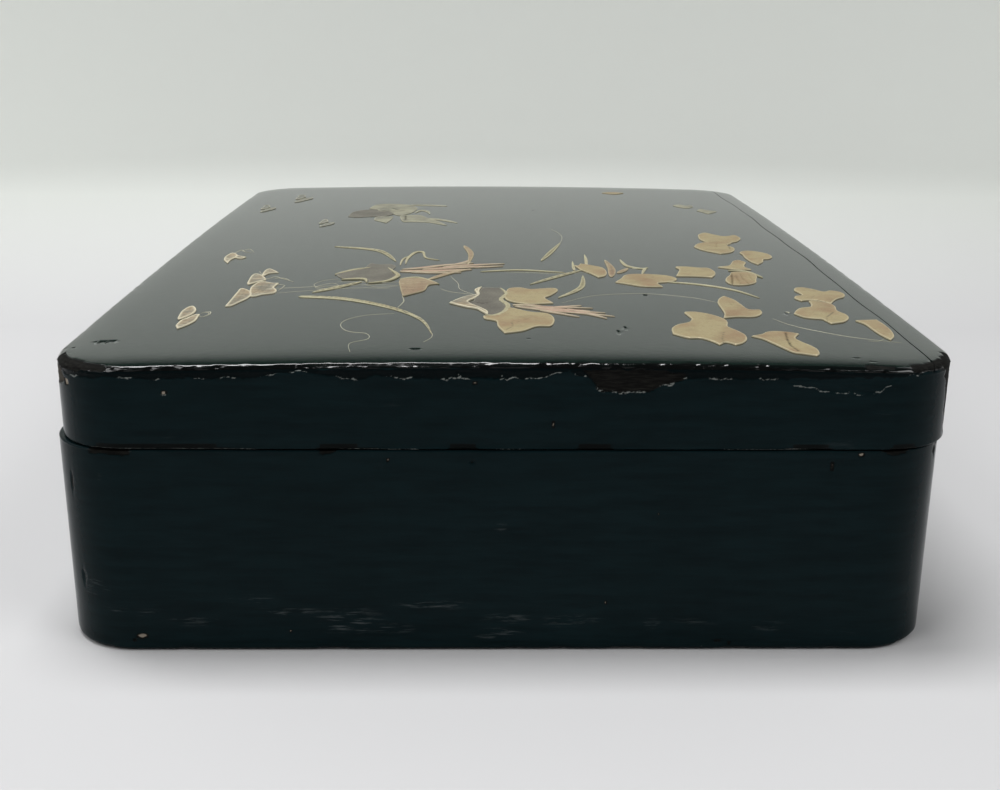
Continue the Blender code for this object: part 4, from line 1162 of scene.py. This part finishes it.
class Paint:
    """A material, and the steps from which its look is made."""

    def __init__(self, name, specular, metallic=0.0):
        self.made = bpy.data.materials.new(name)
        self.made.use_nodes = True
        self.sockets = self.made.node_tree.nodes["Principled BSDF"].inputs
        self.feed(self.sockets["Specular IOR Level"], specular)
        self.feed(self.sockets["Metallic"], metallic)

    def feed(self, socket, value):
        """Sets a socket to a number or a colour, or links it to another node's output."""
        if isinstance(value, (int, float)):
            socket.default_value = value
        elif isinstance(value, tuple):
            socket.default_value = (*value, 1.0)
        else:
            self.made.node_tree.links.new(value, socket)

    def node(self, kind, fed, **settings):
        """Adds a node with these settings, fed at its named or numbered inputs."""
        node = self.made.node_tree.nodes.new("ShaderNode" + kind)
        for name, value in settings.items():
            setattr(node, name, value)
        for socket, value in fed.items():
            self.feed(node.inputs[socket], value)
        return node.outputs

    def noise(self, size, detail, rough, stretch=None):
        """A noise texture whose features are about this size in metres, stretched along some ways."""
        where = self.node("TexCoord", {})["Object"]
        if stretch:
            mapping = self.made.node_tree.nodes.new("ShaderNodeMapping")
            mapping.inputs["Scale"].default_value = stretch
            self.feed(mapping.inputs["Vector"], where)
            where = mapping.outputs["Vector"]
        fed = {"Vector": where, "Scale": 1.0 / size, "Detail": detail, "Roughness": rough}
        return self.node("TexNoise", fed)["Fac"]

    def mark(self, name):
        """A value that the mesh carries."""
        return self.node("Attribute", {}, attribute_name=name)["Fac"]

    def ramp(self, value, low, high, start=0.0, end=1.0):
        """Maps a value from low..high to start..end, held at both ends."""
        fed = {"Value": value, "From Min": low, "From Max": high, "To Min": start, "To Max": end}
        return self.node("MapRange", fed)["Result"]

    def blend(self, share, first, second):
        """Mixes two colours by a share."""
        return self.node("Mix", {0: share, 6: first, 7: second}, data_type="RGBA")[2]

    def combine(self, operation, first, second):
        return self.node("Math", {0: first, 1: second}, operation=operation)[0]

    def finish(self, colour, roughness, skin=None, strength=0.0):
        """Feeds the shader its colour, its roughness and a fine unevenness."""
        self.feed(self.sockets["Base Color"], colour)
        self.feed(self.sockets["Roughness"], roughness)
        if skin:
            fed = {"Height": skin, "Strength": strength, "Distance": SKIN_DEPTH}
            self.feed(self.sockets["Normal"], self.node("Bump", fed)["Normal"])
        return self.made


def lacquer(name, colour, specular, gloss, gloss_worn, scuffs):
    """Black lacquer that shows dark ground where it is gone, with painted glints on broken edges, and
    scuffs.
    """
    paint = Paint(name, specular)
    bare = paint.mark("bare")
    broken = paint.combine("MULTIPLY", paint.noise(0.0012, 4, 0.6), 0.5)
    share = paint.ramp(paint.combine("ADD", bare, broken), 0.55, 0.95)
    grain = paint.ramp(paint.noise(0.0005, 3, 0.6, ALONG_WOOD), 0.45, 0.75)
    ground = paint.blend(grain, GROUND, GROUND_PALE)
    ground = paint.blend(paint.ramp(bare, 1.15, 1.6), ground, BARE_WOOD)
    dark = paint.blend(paint.noise(0.05, 3, 0.55), colour, shaded(colour, 1.5))
    dark = paint.blend(paint.combine("MULTIPLY", paint.mark("worn"), 0.7), dark, RUBBED)
    painted = paint.blend(share, dark, ground)
    # Painted glints where the edge mark is high, broken up by fine noise, which also scatters a few small
    # painted glints.
    glint_breaks = paint.combine("MULTIPLY", paint.noise(0.0005, 4, 0.7, GLINT_BREAKS_STRETCH), 2.2)
    edge = paint.ramp(paint.combine("ADD", paint.mark("edge"), glint_breaks), 1.62, 1.95)
    painted = paint.blend(edge, painted, EDGE_GLINT_PAINT)
    if scuffs:
        brushed = paint.ramp(paint.noise(0.0022, 3, 0.6, BRUSHED), 0.35, 0.70, 0.0, 0.5)
        painted = paint.blend(brushed, painted, shaded(colour, 0.35))
        streaks = paint.ramp(paint.noise(0.0009, 4, 0.65, STREAKED), 0.52, 0.70)
        painted = paint.blend(paint.combine("MULTIPLY", streaks, paint.mark("scuff")), painted, SCUFFED)
    rough = paint.ramp(paint.noise(0.004, 4, 0.6), 0.3, 0.75, gloss, gloss_worn)
    rough = paint.combine("MAXIMUM", rough, paint.combine("MULTIPLY", share, 0.75))
    return paint.finish(painted, rough, paint.noise(0.0022, 4, 0.6), 0.10)


def inlay(name, main, patch, pale_tone_and_rim_highlight, metallic, blush=None, patch_size=0.012, streaked=False,
          rim_start=0.40):
    """Gold or tinted lacquer: clouded, paler or darker at its rim, dark in its splits, finely uneven."""
    paint = Paint(name, 0.5, metallic)
    colour = paint.blend(paint.ramp(paint.noise(patch_size, 4, 0.6), 0.42, 0.66), main, patch)
    if blush:
        colour = paint.blend(paint.mark("blush"), colour, blush)
    if streaked:
        lines = paint.noise(0.0009, 3, 0.6, ALONG_WOOD)
        colour = paint.blend(paint.ramp(lines, 0.50, 0.66, 0.0, 0.7), colour, pale_tone_and_rim_highlight)
        colour = paint.blend(paint.ramp(lines, 0.46, 0.34, 0.0, 0.7), colour, patch)
    darker = paint.blend(0.5, colour, shaded(main, 0.35))
    colour = paint.blend(paint.ramp(paint.noise(0.005, 4, 0.65), 0.52, 0.74, 0.0, 0.7), colour, darker)
    colour = paint.blend(paint.ramp(paint.noise(0.0014, 3, 0.6), 0.60, 0.76), colour, darker)
    # The paler rim is partly the figure's own outline and partly a painted highlight on its rolled edge.
    rim = paint.ramp(paint.mark("rim"), rim_start, rim_start + 0.40, 0.0, 0.9)
    colour = paint.blend(rim, colour, pale_tone_and_rim_highlight)
    colour = paint.blend(paint.ramp(paint.mark("split"), 0.10, 0.9), colour, SPLIT_DARK)
    grain = paint.noise(0.0006, 3, 0.6)
    rough = paint.ramp(grain, 0.3, 0.7, INLAY_ROUGHNESS - 0.07, INLAY_ROUGHNESS + 0.1)
    return paint.finish(colour, rough, grain, 0.25)


def make_materials():
    return {
        "top": lacquer("lacquer_top", (0.0030, 0.0085, 0.0065), 0.5, 0.07, 0.13, False),
        # The rim is a darker copy of the top lacquer: painted shade on the rounded top edge.
        "rim": lacquer("lacquer_rim_shaded", (0.0010, 0.0022, 0.0020), 0.40, 0.08, 0.14, False),
        "sides": lacquer("lacquer_sides", (0.0030, 0.0092, 0.0108), 0.050, 0.14, 0.24, True),
        "bare": lacquer("lacquer_bare", (0.0012, 0.0022, 0.0022), 0.06, 0.30, 0.45, True),
        "inside": lacquer("lacquer_inside", (0.0060, 0.0055, 0.0055), 0.4, 0.20, 0.30, False),
        "gold": inlay("gold_relief", (0.34, 0.283, 0.155), (0.275, 0.19, 0.105), (0.50, 0.44, 0.29), 0.25),
        "pale": inlay("pale_gold_relief", (0.38, 0.35, 0.22), (0.32, 0.28, 0.16), (0.44, 0.41, 0.27),
                      0.25),
        "tan": inlay("tan_relief", (0.30, 0.23, 0.14), (0.24, 0.16, 0.10), (0.40, 0.34, 0.22), 0.25,
                     streaked=True),
        "grey": inlay("grey_relief", (0.14, 0.132, 0.105), (0.095, 0.088, 0.07), (0.20, 0.19, 0.15), 0.1),
        "pink": inlay("pink_relief", (0.34, 0.30, 0.19), (0.30, 0.20, 0.14), (0.44, 0.38, 0.27), 0.2,
                      blush=(0.42, 0.24, 0.18), streaked=True),
        "back": inlay("far_relief", (0.28, 0.27, 0.19), (0.15, 0.15, 0.12), (0.36, 0.35, 0.26), 0.2,
                      streaked=True),
        "wing": inlay("wing_relief", (0.17, 0.160, 0.125), (0.32, 0.24, 0.14), (0.62, 0.57, 0.42), 0.25,
                      patch_size=0.008, streaked=True, rim_start=0.22),
        "faint": inlay("faint_relief", (0.17, 0.175, 0.150), (0.22, 0.20, 0.15), (0.38, 0.375, 0.30), 0.2,
                       patch_size=0.006, rim_start=0.25),
        "hair": inlay("hair_line", (0.38, 0.37, 0.28), (0.28, 0.27, 0.20), (0.38, 0.37, 0.28), 0.2),
    }


# Stage, lights and camera, in metres
PAPER_NEAR_SHADED = (0.560, 0.560, 0.567)
PAPER_WALL_LIT = (0.808, 0.830, 0.796)
PAPER_FRONT_SHADOW = (0.42, 0.42, 0.42)
PAPER_HIGH_SHADE = (0.12, 0.12, 0.12)
FLOOR_REACH = 1.2
FLOOR_RINGS = 8
FLOOR_MIDDLE = 0.05
FLOOR_HEIGHT = -0.0002
WALL_BEND = 0.6
WALL_TOP = 1.25
STAGE_TURNS = 96
ROOM_COLOUR = (1.0, 1.0, 0.99, 1.0)
ROOM_STRENGTH = 0.06


def stage_material():
    """Pale paper with painted light and shade: darker near the box, in front of it and high up, paler
    behind it.
    """
    paper = Paint("pale_paper", 0.1)
    where = paper.node("SeparateXYZ", {"Vector": paper.node("TexCoord", {})["Object"]})
    # Painted shade on the floor near the box, giving way to painted light on the wall behind
    tone = paper.blend(paper.ramp(where["Y"], 0.22, 0.80), PAPER_NEAR_SHADED, PAPER_WALL_LIT)
    # A painted shadow on the floor in front of the box
    tone = paper.blend(paper.ramp(where["Y"], -0.30, -0.55), tone, PAPER_FRONT_SHADOW)
    # Painted shade high up on the wall
    tone = paper.blend(paper.ramp(where["Z"], 0.70, 1.15), tone, PAPER_HIGH_SHADE)
    return paper.finish(tone, 0.9)


def make_stage():
    """A pale floor that curves up into a wall all round."""
    flat_reach = FLOOR_REACH - FLOOR_MIDDLE
    radii = [FLOOR_MIDDLE + flat_reach * k / FLOOR_RINGS for k in range(FLOOR_RINGS + 1)]
    profile = [(radius, FLOOR_HEIGHT) for radius in radii]
    for angle in np.linspace(0.1, math.pi / 2, 14):
        out, up = math.sin(angle), 1 - math.cos(angle)
        profile.append((FLOOR_REACH + WALL_BEND * out, WALL_BEND * up))
    profile.append((FLOOR_REACH + WALL_BEND, WALL_TOP))
    points, faces = [], []
    for radius, height in profile:
        for k in range(STAGE_TURNS):
            angle = 2 * math.pi * k / STAGE_TURNS
            points.append((radius * math.cos(angle), radius * math.sin(angle), height))
    for row in range(len(profile) - 1):
        low, high = row * STAGE_TURNS, (row + 1) * STAGE_TURNS
        for k in range(STAGE_TURNS):
            following = (k + 1) % STAGE_TURNS
            faces.append([low + k, low + following, high + following, high + k])
    faces.append(list(range(STAGE_TURNS)))
    mesh = bpy.data.meshes.new("stage_floor")
    mesh.from_pydata(points, [], faces)
    mesh.materials.append(stage_material())
    mesh.shade_smooth()
    floor = bpy.data.objects.new("stage_floor", mesh)
    bpy.context.scene.collection.objects.link(floor)


def area_light(name, place, target, size, power):
    data = bpy.data.lights.new(name, "AREA")
    data.shape = "RECTANGLE"
    data.size, data.size_y = size
    data.energy = power
    lamp = bpy.data.objects.new(name, data)
    lamp.location = place
    lamp.rotation_euler = (Vector(target) - Vector(place)).to_track_quat("-Z", "Y").to_euler()
    bpy.context.scene.collection.objects.link(lamp)


def make_lights():
    world = bpy.data.worlds.new("soft_room")
    world.use_nodes = True
    room = world.node_tree.nodes["Background"].inputs
    room["Color"].default_value = ROOM_COLOUR
    room["Strength"].default_value = ROOM_STRENGTH
    bpy.context.scene.world = world
    for side in (-1, 1):
        area_light(f"front_{side + 2}", (1.20 * side, -0.90, 1.40), (0.0, -0.1, 0.0), (0.9, 0.9), 11.2)
        area_light(f"back_{side + 2}", (1.25 * side, 0.80, 1.40), (0.0, 0.1, 0.0), (0.9, 0.9), 3.0)
    area_light("strip", (-0.25, 0.0, 1.45), (-0.25, -0.19, 0.0), (0.78, 0.42), 18.6)


# The camera as fitted to the photo, with angles in degrees and the lens and sensor in millimetres
CAMERA_PLACE = (-0.00642, -0.53228, 0.18733)
CAMERA_PITCH = 17.122
CAMERA_YAW = 0.8668
CAMERA_ROLL = 0.3551
CAMERA_LENS = 44.638
CAMERA_SENSOR = 36.0


def make_camera():
    data = bpy.data.cameras.new("camera")
    data.lens = CAMERA_LENS
    data.sensor_width = CAMERA_SENSOR
    data.sensor_fit = "HORIZONTAL"
    camera = bpy.data.objects.new("camera", data)
    bpy.context.scene.collection.objects.link(camera)
    pitch, yaw, roll = (math.radians(a) for a in (CAMERA_PITCH, CAMERA_YAW, CAMERA_ROLL))
    ahead = Vector((math.sin(yaw) * math.cos(pitch), math.cos(yaw) * math.cos(pitch), -math.sin(pitch)))
    right = Vector((math.cos(yaw), -math.sin(yaw), 0))
    up = right.cross(ahead)
    right, up = math.cos(roll) * right + math.sin(roll) * up, math.cos(roll) * up - math.sin(roll) * right
    turn = Matrix((right, up, -ahead)).transposed()
    camera.matrix_world = Matrix.Translation(CAMERA_PLACE) @ turn.to_4x4()
    bpy.context.scene.camera = camera


def main():
    bpy.context.scene.view_settings.view_transform = "Standard"
    finishes = make_materials()
    shells = [finishes[name] for name in ("top", "sides", "inside", "rim", "bare")]
    lid = make_lid(shells)
    base = make_base(shells)
    for piece, node in ((lid, "lid"), (base, "base")):
        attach(piece, "root")
        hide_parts(node)
    slots = dict.fromkeys(("pale", "wing", "hair", "back", "faint"), "pale_gold_lacquer")
    slots |= {"gold": "gold_lacquer", "tan": "gold_lacquer", "grey": "grey_lacquer", "pink": "pink_lacquer"}
    for piece, finish in make_ornament(finishes):
        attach(piece, "root")
    make_stage()
    make_lights()
    make_camera()


main()
